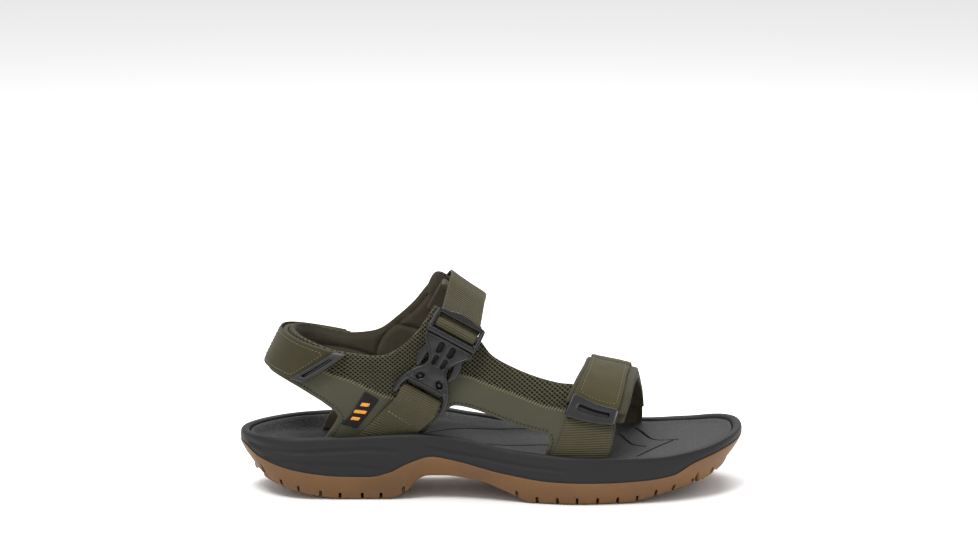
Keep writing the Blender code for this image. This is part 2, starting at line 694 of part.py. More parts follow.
def make_forefoot_strap():
    """The same closure over the forefoot, on a padded band between two anchor straps."""
    strap("forefoot_pad", FOREFOOT_LOOP, -50, 50, (-10.0, 17.0), PAD, "lining")
    anchor = [
        [(41.5, 50.0), (67.5, 48.0)],
        [(67.5, 48.0), (68.3, 40), (66.5, 31), (65.0, 24.0)],
        [(65.0, 24.0), (33.5, 25.0)],
        [(33.5, 25.0), (36, 33), (39, 41), (41.5, 50.0)],
    ]
    panel("forefoot_lateral_anchor", anchor, -1, WEBBING, "webbing")
    strap("forefoot_loop_strap", FOREFOOT_LOOP, -46, 70, FOREFOOT_BAND, WEBBING, "webbing", columns=6)
    strap("forefoot_strap_medial", FOREFOOT_LOOP, SEAM_GAP, 44, FOREFOOT_FLAP, FLAP, "synthetic")
    end = FOREFOOT_FLAP_END
    strap("forefoot_flap", FOREFOOT_LOOP, end, -SEAM_GAP, FOREFOOT_FLAP, FLAP, "synthetic", skew=(-0.1, 0))
    strap("forefoot_hook_patch", FOREFOOT_LOOP, end + 1.5, -12, (-11.0, 9.0), HOOK, "hook", skew=(-0.1, 0))
    tab = (FLAP[0], FLAP[1] + 0.8)
    strap("forefoot_pull_tab", FOREFOOT_LOOP, end - 8.6, end - 0.4, (-16.0, 11.5), tab, "plastic", spacing=3, skew=(0, -0.1))


# ---- side-release buckle -------------------------------------------------------------------------
# Its own frame: a runs up along the strap from the seam between its halves, b across it towards the
# toe, and c outwards.

BUCKLE_SEAM = (2.5, -44.5, 8.2)  # q and arc on the instep loop, and the stand-off of c = 0 from the form
BUCKLE_FOOT = (0.2, -84.0, 9.2)
LADDER_BEND = math.radians(14.0)  # of the plug's ladder towards the foot


def buckle_axes():
    """The buckle's origin and its a, b and c directions."""
    seam, foot = (
        INSTEP_LOOP.point(q, arc) + stand_off * form_normal(INSTEP_LOOP.point(q, arc))
        for q, arc, stand_off in (BUCKLE_SEAM, BUCKLE_FOOT)
    )
    a = (seam - foot) / np.linalg.norm(seam - foot)
    outward = form_normal(INSTEP_LOOP.point(0, (BUCKLE_SEAM[1] + BUCKLE_FOOT[1]) / 2))
    b = np.cross(outward, a)
    b /= np.linalg.norm(b) * (1 if b[0] > 0 else -1)
    c = np.cross(a, b)
    return seam, a, b, c if c[1] < 0 else -c


def bent_axes(axes):
    """The ladder's frame: the buckle's, turned about b towards the foot."""
    origin, a, b, c = axes
    cos, sin = math.cos(LADDER_BEND), math.sin(LADDER_BEND)
    return origin, a * cos - c * sin, b, c * cos + a * sin


def placed(axes, points):
    origin, a, b, c = axes
    return [origin + p[0] * a + p[1] * b + p[2] * c for p in points]


def plate(name, axes, outlines, low, high, finish):
    """A flat plate between two c. The first outline is its edge, and the rest are its holes."""
    sheet = bmesh.new()
    for outline in outlines:
        corners = [sheet.verts.new((a, b, 0)) for a, b in outline]
        for k, corner in enumerate(corners):
            sheet.edges.new((corner, corners[(k + 1) % len(corners)]))
    bmesh.ops.triangle_fill(sheet, edges=sheet.edges, use_beauty=True)
    bmesh.ops.recalc_face_normals(sheet, faces=sheet.faces)
    sheet.verts.index_update()
    points = placed(axes, [v.co for v in sheet.verts])
    faces = [[v.index for v in face.verts] for face in sheet.faces]
    sheet.free()
    return shell(name, points, [axes[3]] * len(points), faces, (low, high), finish)


def mirrored(half):
    """A closed outline from the half of it with b above 0, listed from its top to its foot."""
    return half + [(a, -b) for a, b in reversed(half)]


def slot(a, b, length, width, ends=4):
    """A round-ended slot along a, centred on (a, b)."""
    reach, radius = (length - width) / 2, width / 2
    turns = [math.pi * k / ends for k in range(ends + 1)]
    top = [(a + reach + radius * math.sin(t), b + radius * math.cos(t)) for t in turns]
    foot = [(a - reach - radius * math.sin(t), b - radius * math.cos(t)) for t in turns]
    return top + foot


def union(first, others):
    """Joins pieces into first, which keeps its name."""
    for other in others:
        other.hide_render = True
        other.display_type = "WIRE"
        join = first.modifiers.new(other.name, "BOOLEAN")
        join.operation = "UNION"
        join.object = other


SOCKET_HALF = [
    (-0.1, 0.0), (-0.1, 15.4), (-2.5, 15.4), (-5.5, 13.2), (-9.5, 9.4), (-14.5, 6.4), (-18.5, 7.4),
    (-22.0, 10.6), (-25.5, 12.9), (-28.5, 12.6), (-30.2, 10.5), (-30.2, 0.0),
]
HORN = [
    (-24.0, 10.5), (-25.5, 13.4), (-29.5, 15.2), (-34.5, 16.6), (-39.5, 16.8), (-41.0, 15.2),
    (-40.4, 13.6), (-37.0, 13.4), (-34.0, 13.1), (-31.0, 11.8), (-29.6, 10.0), (-27.0, 9.6),
]
BAR_A = -37.2
BAR_C = 1.0
BAR_RADIUS = 1.6


def make_socket(axes):
    """The half with the X-shaped face, which holds the lower webbing on its bar."""
    holes = [slot(-5.6, b, 5.8, 2.4) for b in (-3.3, 3.3)]
    holes += [slot(-13.2, b, 5.6, 2.2) for b in (-2.9, 2.9)]
    holes += [slot(-25.4, b, 4.6, 3.6) for b in (-6.3, 6.3)]
    face = plate("buckle_socket", axes, [mirrored(SOCKET_HALF)[1:-1], *holes], 3.4, 5.0, "plastic")
    back_half = [(a if a > -29 else a - 2.3, min(b, 14.9)) for a, b in SOCKET_HALF]
    back = plate("socket_back", axes, [mirrored(back_half)[1:-1]], -1.6, -0.4, "plastic")
    pieces = [back]
    for side in (-1, 1):
        wall = [
            (-0.4, side * 13.25), (-0.4, side * 15.1), (-2.9, side * 15.1), (-5.6, side * 13.4),
            (-5.4, side * 13.25),
        ]
        pieces.append(plate("socket_wall", axes, [wall], -1.0, 4.2, "plastic"))
        horn = [(a, side * b) for a, b in HORN]
        pieces.append(plate("socket_horn", axes, [horn], -1.2, 4.6, "plastic"))
    block = mirrored([(-26.8, 12.2), (-29.9, 10.2)])
    pieces.append(plate("socket_block", axes, [block], -1.0, 4.2, "plastic"))
    reach = 14.2
    bar = [(BAR_A + BAR_RADIUS * math.cos(t), BAR_RADIUS * math.sin(t)) for t in (math.pi * (k + 0.5) / 4 for k in range(8))]
    points = [(a, b, c + BAR_C) for b in (-reach, reach) for a, c in bar]
    walls = [(k, (k + 1) % 8, (k + 1) % 8 + 8, k + 8) for k in range(8)]
    pieces.append(solid("socket_bar", placed(axes, points), walls + [list(range(8))[::-1], list(range(8, 16))], "plastic"))
    union(face, pieces)


def make_plug(axes):
    """The half that slides into the socket: shoulder, guide tongue, and the ladder for the instep webbing."""
    shoulder = plate("buckle_plug", axes, [mirrored([(3.0, 15.0), (0.3, 15.6)])], -1.0, 4.6, "plastic")
    tongue = plate("plug_tongue", axes, [mirrored([(1.5, 1.9), (-18.0, 1.9), (-19.5, 1.0)])], 0.3, 2.7, "plastic")
    bent = bent_axes(axes)
    edge = mirrored([(15.8, 12.5), (14.8, 14.6), (12.0, 15.3), (1.2, 15.2)])
    window = [mirrored([(12.9, 13.3), (7.9, 13.3)]), mirrored([(5.6, 13.3), (3.3, 13.3)])]
    ladder = plate("plug_ladder", bent, [edge, *window], -0.7, 2.3, "plastic")
    union(shoulder, [tongue, ladder])


ARM_HALF = [
    (-0.1, 4.6), (-0.1, 8.2), (-4.0, 8.9), (-7.5, 11.4), (-12.0, 12.9), (-17.0, 12.7), (-20.5, 11.0),
    (-22.0, 8.8), (-16.0, 9.4), (-8.5, 8.0), (-4.5, 6.0),
]


def make_arms(axes):
    """The plug's two release arms, which bend inwards when their ears are pressed."""
    for name, side in (("release_arm_rear", -1), ("release_arm_front", 1)):
        plate(name, axes, [[(a, side * b) for a, b in ARM_HALF]], 0.4, 2.7, "plastic")


LADDER_PATH = [
    (13.5, -1.8), (11.2, -1.2), (9.7, 0.6), (8.8, 2.7), (6.8, 3.5), (4.8, 2.9), (4.3, 0.9), (4.3, -1.2),
    (5.2, -2.9), (7.5, -3.5), (12.0, -3.6), (17.0, -3.7),
]
LADDER_HALF = 12.7


def make_instep_strap(axes):
    """Webbing threaded through the ladder, over the instep to the fixed webbing on the medial side."""
    bent = bent_axes(axes)
    rows = []
    columns = np.linspace(-LADDER_HALF, LADDER_HALF, 3)
    for arc in np.arange(22, -15, -6.0):
        points = [INSTEP_LOOP.point(q, arc) for q in columns]
        rows.append(np.array([p + 5.2 * form_normal(p) for p in points]))
    for a, c in LADDER_PATH:
        rows.append(np.array(placed(bent, [(a, b, c) for b in columns])))
    webbing("instep_webbing", rows)
    strap("instep_pad", INSTEP_LOOP, -10, 30, (-13.0, 13.0), (-3.8, -0.9), "lining", spacing=3)
    strap("instep_medial_webbing", INSTEP_LOOP, 23.5, 101.5, (-12.7, 12.7), WEBBING, "webbing", skew=(0, -0.5))


LOWER_DOWN = (-0.637, -0.771)  # x and z of the way the lower strap runs down to the sole
FOLD_PATH = [
    (-48.5, -2.6), (-43.0, -2.5), (-38.0, -2.0), (-34.5, -0.3), (-34.5, 2.3), (-37.2, 3.7), (-40.5, 3.1),
    (-45.0, 1.5),
]
LOWER_HALF = 12.5


def make_lower_strap(axes):
    """Webbing round the socket's bar, stitched back on itself and run down into the sole, and its side label."""
    columns = np.linspace(-LOWER_HALF, LOWER_HALF, 3)
    rows = [np.array(placed(axes, [(a, b, c) for b in columns])) for a, c in FOLD_PATH]
    start = placed(axes, [(-40.0, 0.0, 0.0)])[0]
    for down, stand_off, slant in ((14, 6.9, 0), (20, 5.5, -0.1), (27, 5.0, -0.35), (35.5, 4.95, -0.65)):
        points = []
        for q in columns:
            p = down + slant * q
            x = start[0] + p * LOWER_DOWN[0] - q * LOWER_DOWN[1]
            z = start[2] + p * LOWER_DOWN[1] + q * LOWER_DOWN[0]
            points.append(form_point(x, z, -1))
        rows.append(np.array([p + stand_off * form_normal(p) for p in points]))
    webbing("lower_webbing", rows)
    corners = [(-75.8, 66.4), (-67.4, 62.0), (-80.6, 43.4), (-88.0, 46.6)]
    panel("side_label", [list(side) for side in zip(corners, corners[1:] + corners[:1])], -1, (OVERLAY[1] + 0.3, OVERLAY[1] + 0.9), "label")


def main():
    for made in list(bpy.data.objects):
        bpy.data.objects.remove(made)
    make_outsole()
    make_midsole()
    make_footbed()
    for side in (-1, 1):
        make_quarter(side)
    make_heel_strap()
    make_forefoot_strap()
    axes = buckle_axes()
    make_socket(axes)
    make_plug(axes)
    make_arms(axes)
    make_instep_strap(axes)
    make_lower_strap(axes)


main()
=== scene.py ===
"""Looks of the strappy sport sandal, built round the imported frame.

Lengths are in millimetres, and mesh_piece() turns them into metres. The foot form, the sole's
outline and the strap routes are the same rules as the frame's own, at a finer spacing.
"""

import math

import bmesh
import bpy
import numpy as np
from mathutils import Matrix, Vector
from mathutils.geometry import delaunay_2d_cdt


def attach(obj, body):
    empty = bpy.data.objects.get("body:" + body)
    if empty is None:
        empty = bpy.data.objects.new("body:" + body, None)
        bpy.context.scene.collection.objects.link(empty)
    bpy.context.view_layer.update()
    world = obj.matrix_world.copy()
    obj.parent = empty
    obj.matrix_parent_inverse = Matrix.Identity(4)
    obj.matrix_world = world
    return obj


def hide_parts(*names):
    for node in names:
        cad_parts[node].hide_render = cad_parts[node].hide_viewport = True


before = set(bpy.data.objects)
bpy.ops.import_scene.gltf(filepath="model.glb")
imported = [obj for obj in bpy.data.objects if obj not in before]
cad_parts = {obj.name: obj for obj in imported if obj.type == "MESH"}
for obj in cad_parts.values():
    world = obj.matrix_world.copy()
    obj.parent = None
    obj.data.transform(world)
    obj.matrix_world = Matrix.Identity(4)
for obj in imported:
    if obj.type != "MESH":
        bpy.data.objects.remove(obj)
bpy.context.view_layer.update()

# ---- the shape rules shared with the frame ---------------------------------------------------------

LENGTH = 300.0
HALF = LENGTH / 2
WALL_INSET = 12.5
WEBBING_THICKNESS = 1.2
WEBBING = (4.6, 5.8)
HOOK = (6.1, 6.8)
FLAP = (7.1, 8.3)
FORM_POWER = 2.3
HEEL_X = -85.0
QUARTER_ARC = 54.5
BACK_SEAM = HEEL_X - QUARTER_ARC


def smooth_table(rows):
    """A smooth function through rows of (x, value) that never overshoots and is flat past both ends."""
    xs, ys = np.array(rows, float).T
    steps = np.diff(xs)
    slopes = np.diff(ys) / steps
    tangents = np.zeros(len(xs))
    for i in range(1, len(steps)):
        before, after = slopes[i - 1], slopes[i]
        if before * after > 0:
            w1, w2 = 2 * steps[i] + steps[i - 1], steps[i] + 2 * steps[i - 1]
            tangents[i] = (w1 + w2) / (w1 / before + w2 / after)

    def value(x):
        x = np.clip(x, xs[0], xs[-1])
        i = np.clip(np.searchsorted(xs, x) - 1, 0, len(steps) - 1)
        t = (x - xs[i]) / steps[i]
        rise = t * t * (3 - 2 * t)
        bend = t * (1 - t) ** 2 * tangents[i] + t * t * (t - 1) * tangents[i + 1]
        return ys[i] + rise * (ys[i + 1] - ys[i]) + bend * steps[i]

    return value


def unit(vectors):
    return vectors / np.linalg.norm(vectors, axis=-1, keepdims=True)


def lengths_along(line):
    """The length along a line as far as each of its points."""
    return np.concatenate([[0], np.cumsum(np.linalg.norm(np.diff(line, axis=0), axis=1))])


SOLE_LATERAL = smooth_table([
    (-150, 34), (-112, 35.5), (-75, 36.5), (-30, 39.5), (10, 47), (50, 54), (85, 51), (115, 46), (150, 44),
])
SOLE_MEDIAL = smooth_table([
    (-150, 34), (-112, 35.5), (-75, 34), (-30, 30.5), (10, 38), (45, 49), (75, 54), (110, 52), (150, 50),
])
RIM_LATERAL = smooth_table([
    (-150, 37), (-90, 38.5), (-45, 40.5), (-20, 38.5), (10, 32.5), (60, 29), (95, 28.5), (120, 31), (150, 36),
])
RIM_MEDIAL = smooth_table([
    (-150, 37), (-90, 40), (-40, 43), (-10, 38), (16, 32.5), (60, 30), (95, 29), (120, 31), (150, 36),
])
BOUNDARY_LATERAL = smooth_table([
    (-150, 31), (-139, 25), (-120, 19), (-90, 15), (-74, 14.8), (-62, 17.5), (-51, 23), (-37, 27.3),
    (-24, 25.2),
    (3, 18.7), (32, 14.6), (66, 14), (85, 14.6), (104, 16.8), (117, 23), (132, 27.5), (143, 30.3),
    (150, 31.8),
])
BOUNDARY_MEDIAL = smooth_table([
    (-150, 31), (-139, 25), (-120, 19), (-90, 15.5), (-74, 16), (-60, 20), (-38, 29), (-10, 26), (20, 19),
    (45, 15), (75, 14), (104, 16.8), (117, 23), (132, 27.5), (143, 30.3), (150, 31.8),
])
BOTTOM = smooth_table([
    (-150, 21), (-139, 12.5), (-120, 5), (-100, 1), (-92, 0), (-64, 0), (-57, 1.8), (-50, 6.5), (-46, 11.5),
    (-40, 14.3), (-30, 14.5), (-12, 12.3), (8, 5), (20, 0), (78, 0), (95, 3.5), (106, 5.8), (121, 9),
    (135, 14.5), (150, 23),
])
FOOTBED_TOP = smooth_table([
    (-150, 32), (-110, 30.5), (-60, 33), (-30, 35.5), (10, 30), (60, 26.8), (95, 26.5), (120, 28.5),
    (150, 33),
])
DISH = smooth_table([(-150, 0), (-120, 3), (-60, 2.5), (0, 1.5), (60, 1.0), (110, 0.5), (150, 0)])
FOOTBED_THICKNESS = 4.5
OUTSOLE_THICKNESS = 5.0
HEEL_ROUND = 40.0
TOE_ROUND = 60.0
TOE_POWER = 2.3
TOE_TIP_Y = 12.0

CENTRE = smooth_table([(-90, 0), (-30, 3), (20, 5), (70, 4)])
FLARE = smooth_table([(-120, 7), (-40, 7), (0, 4), (40, 1.5), (80, 1.0)])
TOP = smooth_table([
    (-85, 182), (-60, 157), (-26.6, 125.5), (-4, 109.5), (20, 94), (40, 81), (57.7, 70), (82.3, 64),
    (110, 58),
])
BASE = smooth_table([(-60, 42), (0, 38), (60, 30), (110, 28)])


def sole_edge(x, side):
    """Y of the sole's edge at x: side is -1 on the lateral side and 1 on the medial side."""
    half = SOLE_LATERAL(x) if side < 0 else SOLE_MEDIAL(x)
    heel = np.clip((-HALF + HEEL_ROUND - x) / HEEL_ROUND, 0, 1)
    toe = np.clip((x - HALF + TOE_ROUND) / TOE_ROUND, 0, 1)
    closing = (1 - toe**TOE_POWER) ** (1 / TOE_POWER)
    tapered = TOE_TIP_Y + (side * half - TOE_TIP_Y) * closing
    return np.where(toe > 0, tapered, side * half * np.sqrt(1 - heel**2))


def sole_share(x, y):
    """0 on the lateral edge to 1 on the medial edge."""
    x = np.clip(x, -HALF + 2, HALF - 2)
    low, high = sole_edge(x, -1), sole_edge(x, 1)
    return np.clip((y - low) / (high - low), 0, 1)


def rim_height(x, y):
    share = sole_share(x, y)
    x = np.clip(x, -HALF + 2, HALF - 2)
    return RIM_LATERAL(x) * (1 - share) + RIM_MEDIAL(x) * share


def boundary_height(x, y):
    share = sole_share(x, y)
    x = np.clip(x, -HALF + 2, HALF - 2)
    return BOUNDARY_LATERAL(x) * (1 - share) + BOUNDARY_MEDIAL(x) * share


def footbed_height(x, y):
    """The footbed's top: lower than the rim, dished along its middle, and raised at the arch."""
    side = 2 * sole_share(x, y) - 1
    arch = 3.0 * np.maximum(side, 0) ** 2 * np.exp(-(((x + 35) / 40) ** 2))
    return FOOTBED_TOP(x) + arch - DISH(x) * (1 - side**2)


def midsole_underside(x, y):
    return np.minimum(BOTTOM(x) + OUTSOLE_THICKNESS, boundary_height(x, y) - 0.5)


def form_half_width(x, z, side):
    wall = np.where(np.asarray(side) < 0, SOLE_LATERAL(x) + CENTRE(x), SOLE_MEDIAL(x) - CENTRE(x))
    rise = np.clip((z - 36) / 34, 0, 1)
    return wall - WALL_INSET + FLARE(x) * rise * rise * (3 - 2 * rise)


def heel_depth(z):
    return 41.5 - 0.448 * np.clip(z - 80.5, -60, 40)


def form_room(x, z):
    """1 low on the form's walls, 0 on its ridge and its back, and negative outside it."""
    over = np.maximum(z - BASE(x), 0) / (TOP(x) - BASE(x))
    behind = np.maximum(HEEL_X - x, 0) / heel_depth(z)
    return 1 - over**FORM_POWER - behind**2


def form_points(x, z, side):
    share = np.maximum(form_room(x, z), 0) ** (1 / FORM_POWER)
    return np.stack([x, CENTRE(x) + side * form_half_width(x, z, side) * share, z], axis=-1)


def form_level(p):
    x, y, z = p[..., 0], p[..., 1], p[..., 2]
    side = np.where(y < CENTRE(x), -1, 1)
    out = np.abs(y - CENTRE(x)) / form_half_width(x, z, side)
    return out**FORM_POWER - form_room(x, z)


def form_normals(points):
    """Outward normals of the form, from the slope of its implicit function."""
    step = 0.2
    rises = [form_level(points + step * a) - form_level(points - step * a) for a in np.eye(3)]
    return unit(np.stack(rises, axis=-1))


def pattern_points(s, z, side):
    """Points of a flat pattern laid on the form: s is x as far back as the heel's round, then arc length."""
    s, z = np.asarray(s, float), np.asarray(z, float)
    straight = form_points(s, z, side)
    angle = np.clip((HEEL_X - s) / QUARTER_ARC, 0, 1) * math.pi / 2
    room = np.maximum(form_room(np.full_like(z, HEEL_X), z), 0)
    x = HEEL_X - heel_depth(z) * np.sqrt(room) * np.sin(angle)
    half = form_half_width(x, z, side) * room ** (1 / FORM_POWER) * np.cos(angle) ** (2 / FORM_POWER)
    round_heel = np.stack([x, CENTRE(x) + side * half, z], axis=-1)
    return np.where((s >= HEEL_X)[..., None], straight, round_heel)


class Loop:
    """A strap's way round the form, cut by planes that hold the Y axis and the strap's direction.

    q is the place across the strap, and arc the length along its middle from the crown, negative on
    the lateral side.
    """

    def __init__(self, crown, down, reach):
        self.crown = np.array(crown, float)
        self.down = np.array(down, float) / np.linalg.norm(down)
        self.across = np.array([-self.down[1], self.down[0]])
        self.reach = reach
        self.arcs = {side: self.measure(side) for side in (-1, 1)}

    def flat(self, q, p):
        return [self.crown[i] + q * self.across[i] + p * self.down[i] for i in (0, 1)]

    def ridge(self, q):
        """Where the plane at q meets the form's ridge."""
        outside, inside = np.full_like(q, -30.0), np.full_like(q, 30.0)
        for _ in range(40):
            middle = (outside + inside) / 2
            within = form_room(*self.flat(q, middle)) > 0
            inside = np.where(within, middle, inside)
            outside = np.where(within, outside, middle)
        return inside

    def at(self, q, share, side):
        start = self.ridge(q)
        x, z = self.flat(q, start + (self.reach - start) * share**FORM_POWER)
        return form_points(x, z, side)

    def measure(self, side):
        shares = np.linspace(0, 1, 120)
        return lengths_along(self.at(np.zeros_like(shares), shares, side)), shares

    def points(self, q, arc):
        q, arc = np.broadcast_arrays(np.asarray(q, float), np.asarray(arc, float))
        lateral, medial = (np.interp(np.abs(arc), *self.arcs[side]) for side in (-1, 1))
        return self.at(q, np.where(arc < 0, lateral, medial), np.where(arc < 0, -1, 1))


class Band:
    """A strap's way over the forefoot, which leans forward from the lateral to the medial side.

    Its cross lines keep to one angle round the form: 0 on the ridge, a quarter turn where the walls
    begin, and further down them past that. q and arc are as a loop's.
    """

    def __init__(self, rows, half_width):
        self.rear = smooth_table([(angle, rear) for angle, rear, _ in rows])
        self.front = smooth_table([(angle, front) for angle, _, front in rows])
        self.half_width = half_width
        self.angles = np.linspace(rows[0][0], rows[-1][0], 240)
        lengths = lengths_along(self.at(np.zeros_like(self.angles), self.angles))
        self.lengths = lengths - np.interp(0, self.angles, lengths)

    def at(self, q, angle):
        share = (q / self.half_width + 1) / 2
        x = self.rear(angle) * (1 - share) + self.front(angle) * share
        turn = np.radians(np.minimum(np.abs(angle), 90))
        z = BASE(x) + (TOP(x) - BASE(x)) * np.cos(turn) ** (2 / FORM_POWER)
        return form_points(x, z - np.maximum(np.abs(angle) - 90, 0) * 0.4, np.where(angle < 0, -1, 1))

    def points(self, q, arc):
        q, arc = np.broadcast_arrays(np.asarray(q, float), np.asarray(arc, float))
        return self.at(q, np.interp(arc, self.lengths, self.angles))


HEEL_LOOP = Loop((-124.0, 85.0), (0.97, -0.22), 60)
INSTEP_LOOP = Loop((-17.5, 118.0), (-0.445, -0.895), 102)
FOREFOOT_LOOP = Band(
    [
        (-105, 34, 65), (-88, 37.5, 66.3), (-70, 43, 70), (-45, 49, 75.5), (-15, 55.5, 80),
        (0, 58, 82.5), (30, 62.5, 85.5), (60, 65, 89), (85, 64, 90), (105, 61.5, 88),
    ],
    13.0,
)

# ---- curves and outlines ---------------------------------------------------------------------------


def smooth_curve(points, spacing):
    """Points about spacing apart along a smooth curve through the given ones."""
    given = np.array(points, float)
    last = 2 * given[-1] - given[-2]
    padded = np.array([2 * given[0] - given[1], *given, last])
    made = []
    for i in range(1, len(padded) - 2):
        p0, p1, p2, p3 = padded[i - 1 : i + 3]
        pieces = max(1, round(np.linalg.norm(p2 - p1) / spacing))
        t = (np.arange(pieces) / pieces).reshape((-1,) + (1,) * (given.ndim - 1))
        bend = (2 * p0 - 5 * p1 + 4 * p2 - p3) * t**2 + (3 * p1 - p0 - 3 * p2 + p3) * t**3
        made.append(0.5 * (2 * p1 + (p2 - p0) * t + bend))
    return np.concatenate(made + [given[-1:]])


def rounded_outline(corners, share=0.4, steps=6):
    """A closed outline with each corner turned into a bend that starts share of the way along its sides."""
    corners = np.array(corners, float)
    made = []
    for before, corner, after in zip(np.roll(corners, 1, axis=0), corners, np.roll(corners, -1, axis=0)):
        start = corner + (before - corner) * share
        end = corner + (after - corner) * share
        for t in np.linspace(0, 1, steps + 1):
            made.append(start * (1 - t) ** 2 + corner * 2 * t * (1 - t) + end * t**2)
    return np.array(made)


def rounded_box(low_u, high_u, low_v, high_v, radius, steps=6):
    """A rectangle with round corners, anticlockwise."""
    made = []
    centres = [(high_u - radius, high_v - radius), (low_u + radius, high_v - radius)]
    centres += [(low_u + radius, low_v + radius), (high_u - radius, low_v + radius)]
    for quarter, (u, v) in enumerate(centres):
        for k in range(steps + 1):
            turn = (quarter + k / steps) * math.pi / 2
            made.append((u + radius * math.cos(turn), v + radius * math.sin(turn)))
    return np.array(made)


def read_at(line, lengths, at):
    """A line's points at given lengths along it."""
    return np.stack([np.interp(at, lengths, column) for column in line.T], axis=1)


def even_line(line, spacing, closed=False):
    """The same line with points spacing apart."""
    line = np.array(line, float)
    if closed:
        line = np.concatenate([line, line[:1]])
    lengths = lengths_along(line)
    count = max(2, round(lengths[-1] / spacing) + 1)
    even = read_at(line, lengths, np.linspace(0, lengths[-1], count))
    return even[:-1] if closed else even


def distance_to(points, line, closed=False):
    """Each point's distance to a line."""
    line = np.asarray(line, float)
    ends = np.roll(line, -1, axis=0) if closed else line[1:]
    best = np.full(len(points), 1e9)
    for a, b in zip(line, ends):
        ab = b - a
        along = np.clip(((points - a) @ ab) / max(ab @ ab, 1e-12), 0, 1)
        gap = points - a - along[:, None] * ab
        best = np.minimum(best, np.einsum("ij,ij->i", gap, gap))
    return np.sqrt(best)


def inside(points, outline):
    """Whether each point lies within a closed outline."""
    within = np.zeros(len(points), bool)
    for a, b in zip(outline, np.roll(outline, -1, axis=0)):
        if a[1] == b[1]:
            continue
        crosses = (a[1] > points[:, 1]) != (b[1] > points[:, 1])
        within ^= crosses & (points[:, 0] < (b[0] - a[0]) * (points[:, 1] - a[1]) / (b[1] - a[1]) + a[0])
    return within


def clear_of(line, outline, least):
    """The points of a line that lie inside an outline and keep their distance from it."""
    line = line[inside(line, outline)]
    return line[distance_to(line, outline, closed=True) > least]


def anticlockwise(outline):
    after = np.roll(outline, -1, axis=0)
    area = np.sum(outline[:, 0] * after[:, 1] - after[:, 0] * outline[:, 1])
    return outline if area > 0 else outline[::-1]


def left_of(along):
    return np.stack([-along[:, 1], along[:, 0]], axis=1)


def moved_in(line, inset, closed=True):
    """A line moved to its left by inset, which is inwards on an anticlockwise outline."""
    line = np.asarray(line, float)
    if closed:
        along = np.roll(line, -1, axis=0) - np.roll(line, 1, axis=0)
    else:
        along = np.gradient(line, axis=0)
    left = left_of(along)
    return line + inset * left / np.maximum(np.linalg.norm(left, axis=1), 1e-9)[:, None]


def smoothstep(low, high, x):
    t = np.clip((x - low) / (high - low), 0, 1)
    return t * t * (3 - 2 * t)


def edge_drop(distance, radius):
    """How far a rounded edge of that radius lies below the face, at a distance from the edge."""
    near = np.clip(1 - distance / radius, 0, 1)
    return radius * (1 - np.sqrt(1 - near**2))


def dent(distance, width):
    return np.exp(-((distance / width) ** 2))


# ---- making pieces ---------------------------------------------------------------------------------


def added(name, data):
    """A new object in the scene."""
    made = bpy.data.objects.new(name, data)
    bpy.context.scene.collection.objects.link(made)
    return made


def mesh_piece(name, finish, points, faces, uv=None, body="sandal", slot=None, replaces=(), sharp=40.0,
               weld=True):
    """A piece from points in millimetres, with its pattern coordinates in the map named pattern.

    The slot argument is not used.
    """
    own_slot, material = FINISHES[finish]
    mesh = bpy.data.meshes.new(name)
    mesh.from_pydata((np.asarray(points, float) * 0.001).tolist(), [], [list(map(int, f)) for f in faces])
    if uv is not None:
        corners = np.zeros(len(mesh.loops), int)
        mesh.loops.foreach_get("vertex_index", corners)
        layer = mesh.uv_layers.new(name="pattern")
        layer.data.foreach_set("uv", np.asarray(uv, np.float32)[corners].ravel())
    shape = bmesh.new()
    shape.from_mesh(mesh)
    if weld:
        bmesh.ops.remove_doubles(shape, verts=shape.verts, dist=1e-6)
    bmesh.ops.recalc_face_normals(shape, faces=shape.faces)
    shape.to_mesh(mesh)
    shape.free()
    mesh.shade_smooth()
    mesh.set_sharp_from_angle(angle=math.radians(sharp))
    piece = added(name, mesh)
    piece.data.materials.append(material)
    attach(piece, body)
    if replaces:
        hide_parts(*replaces)
    return piece


def grid_faces(rows, columns):
    at = np.arange(rows * columns).reshape(rows, columns)
    return np.stack([at[:-1, :-1], at[:-1, 1:], at[1:, 1:], at[1:, :-1]], axis=-1).reshape(-1, 4)


def open_edges(faces):
    """Start and end of each edge that only one face uses."""
    starts, ends = faces.ravel(), np.roll(faces, -1, axis=1).ravel()
    key = np.minimum(starts, ends).astype(np.int64) * 10**7 + np.maximum(starts, ends)
    _, first, counts = np.unique(key, return_index=True, return_counts=True)
    single = first[counts == 1]
    return starts[single], ends[single]


def wall_faces(count, levels, begin=0, stride=None):
    """Faces between rings of count points, which start at begin and are stride points apart."""
    around = np.arange(count)
    after = (around + 1) % count
    a = begin + np.arange(levels - 1)[:, None] * (stride or count)
    b = a + (stride or count)
    return np.stack([a + around, a + after, b + after, b + around], axis=-1).reshape(-1, 4)


def closed_faces(faces, count):
    """Faces of the solid between a sheet and its copy, whose points come count places later."""
    starts, ends = open_edges(faces)
    walls = np.stack([ends, starts, starts + count, ends + count], axis=1)
    return faces.tolist() + (faces[:, ::-1] + count).tolist() + walls.tolist()


def thick_sheet(name, finish, points, normals, faces, top, bottom, flat, **options):
    """A closed piece between two offsets of a sheet."""
    both = [points + normals * np.reshape(offset, (-1, 1)) for offset in (top, bottom)]
    all_faces = closed_faces(faces, len(points))
    return mesh_piece(name, finish, np.concatenate(both), all_faces, np.concatenate([flat, flat]), **options)


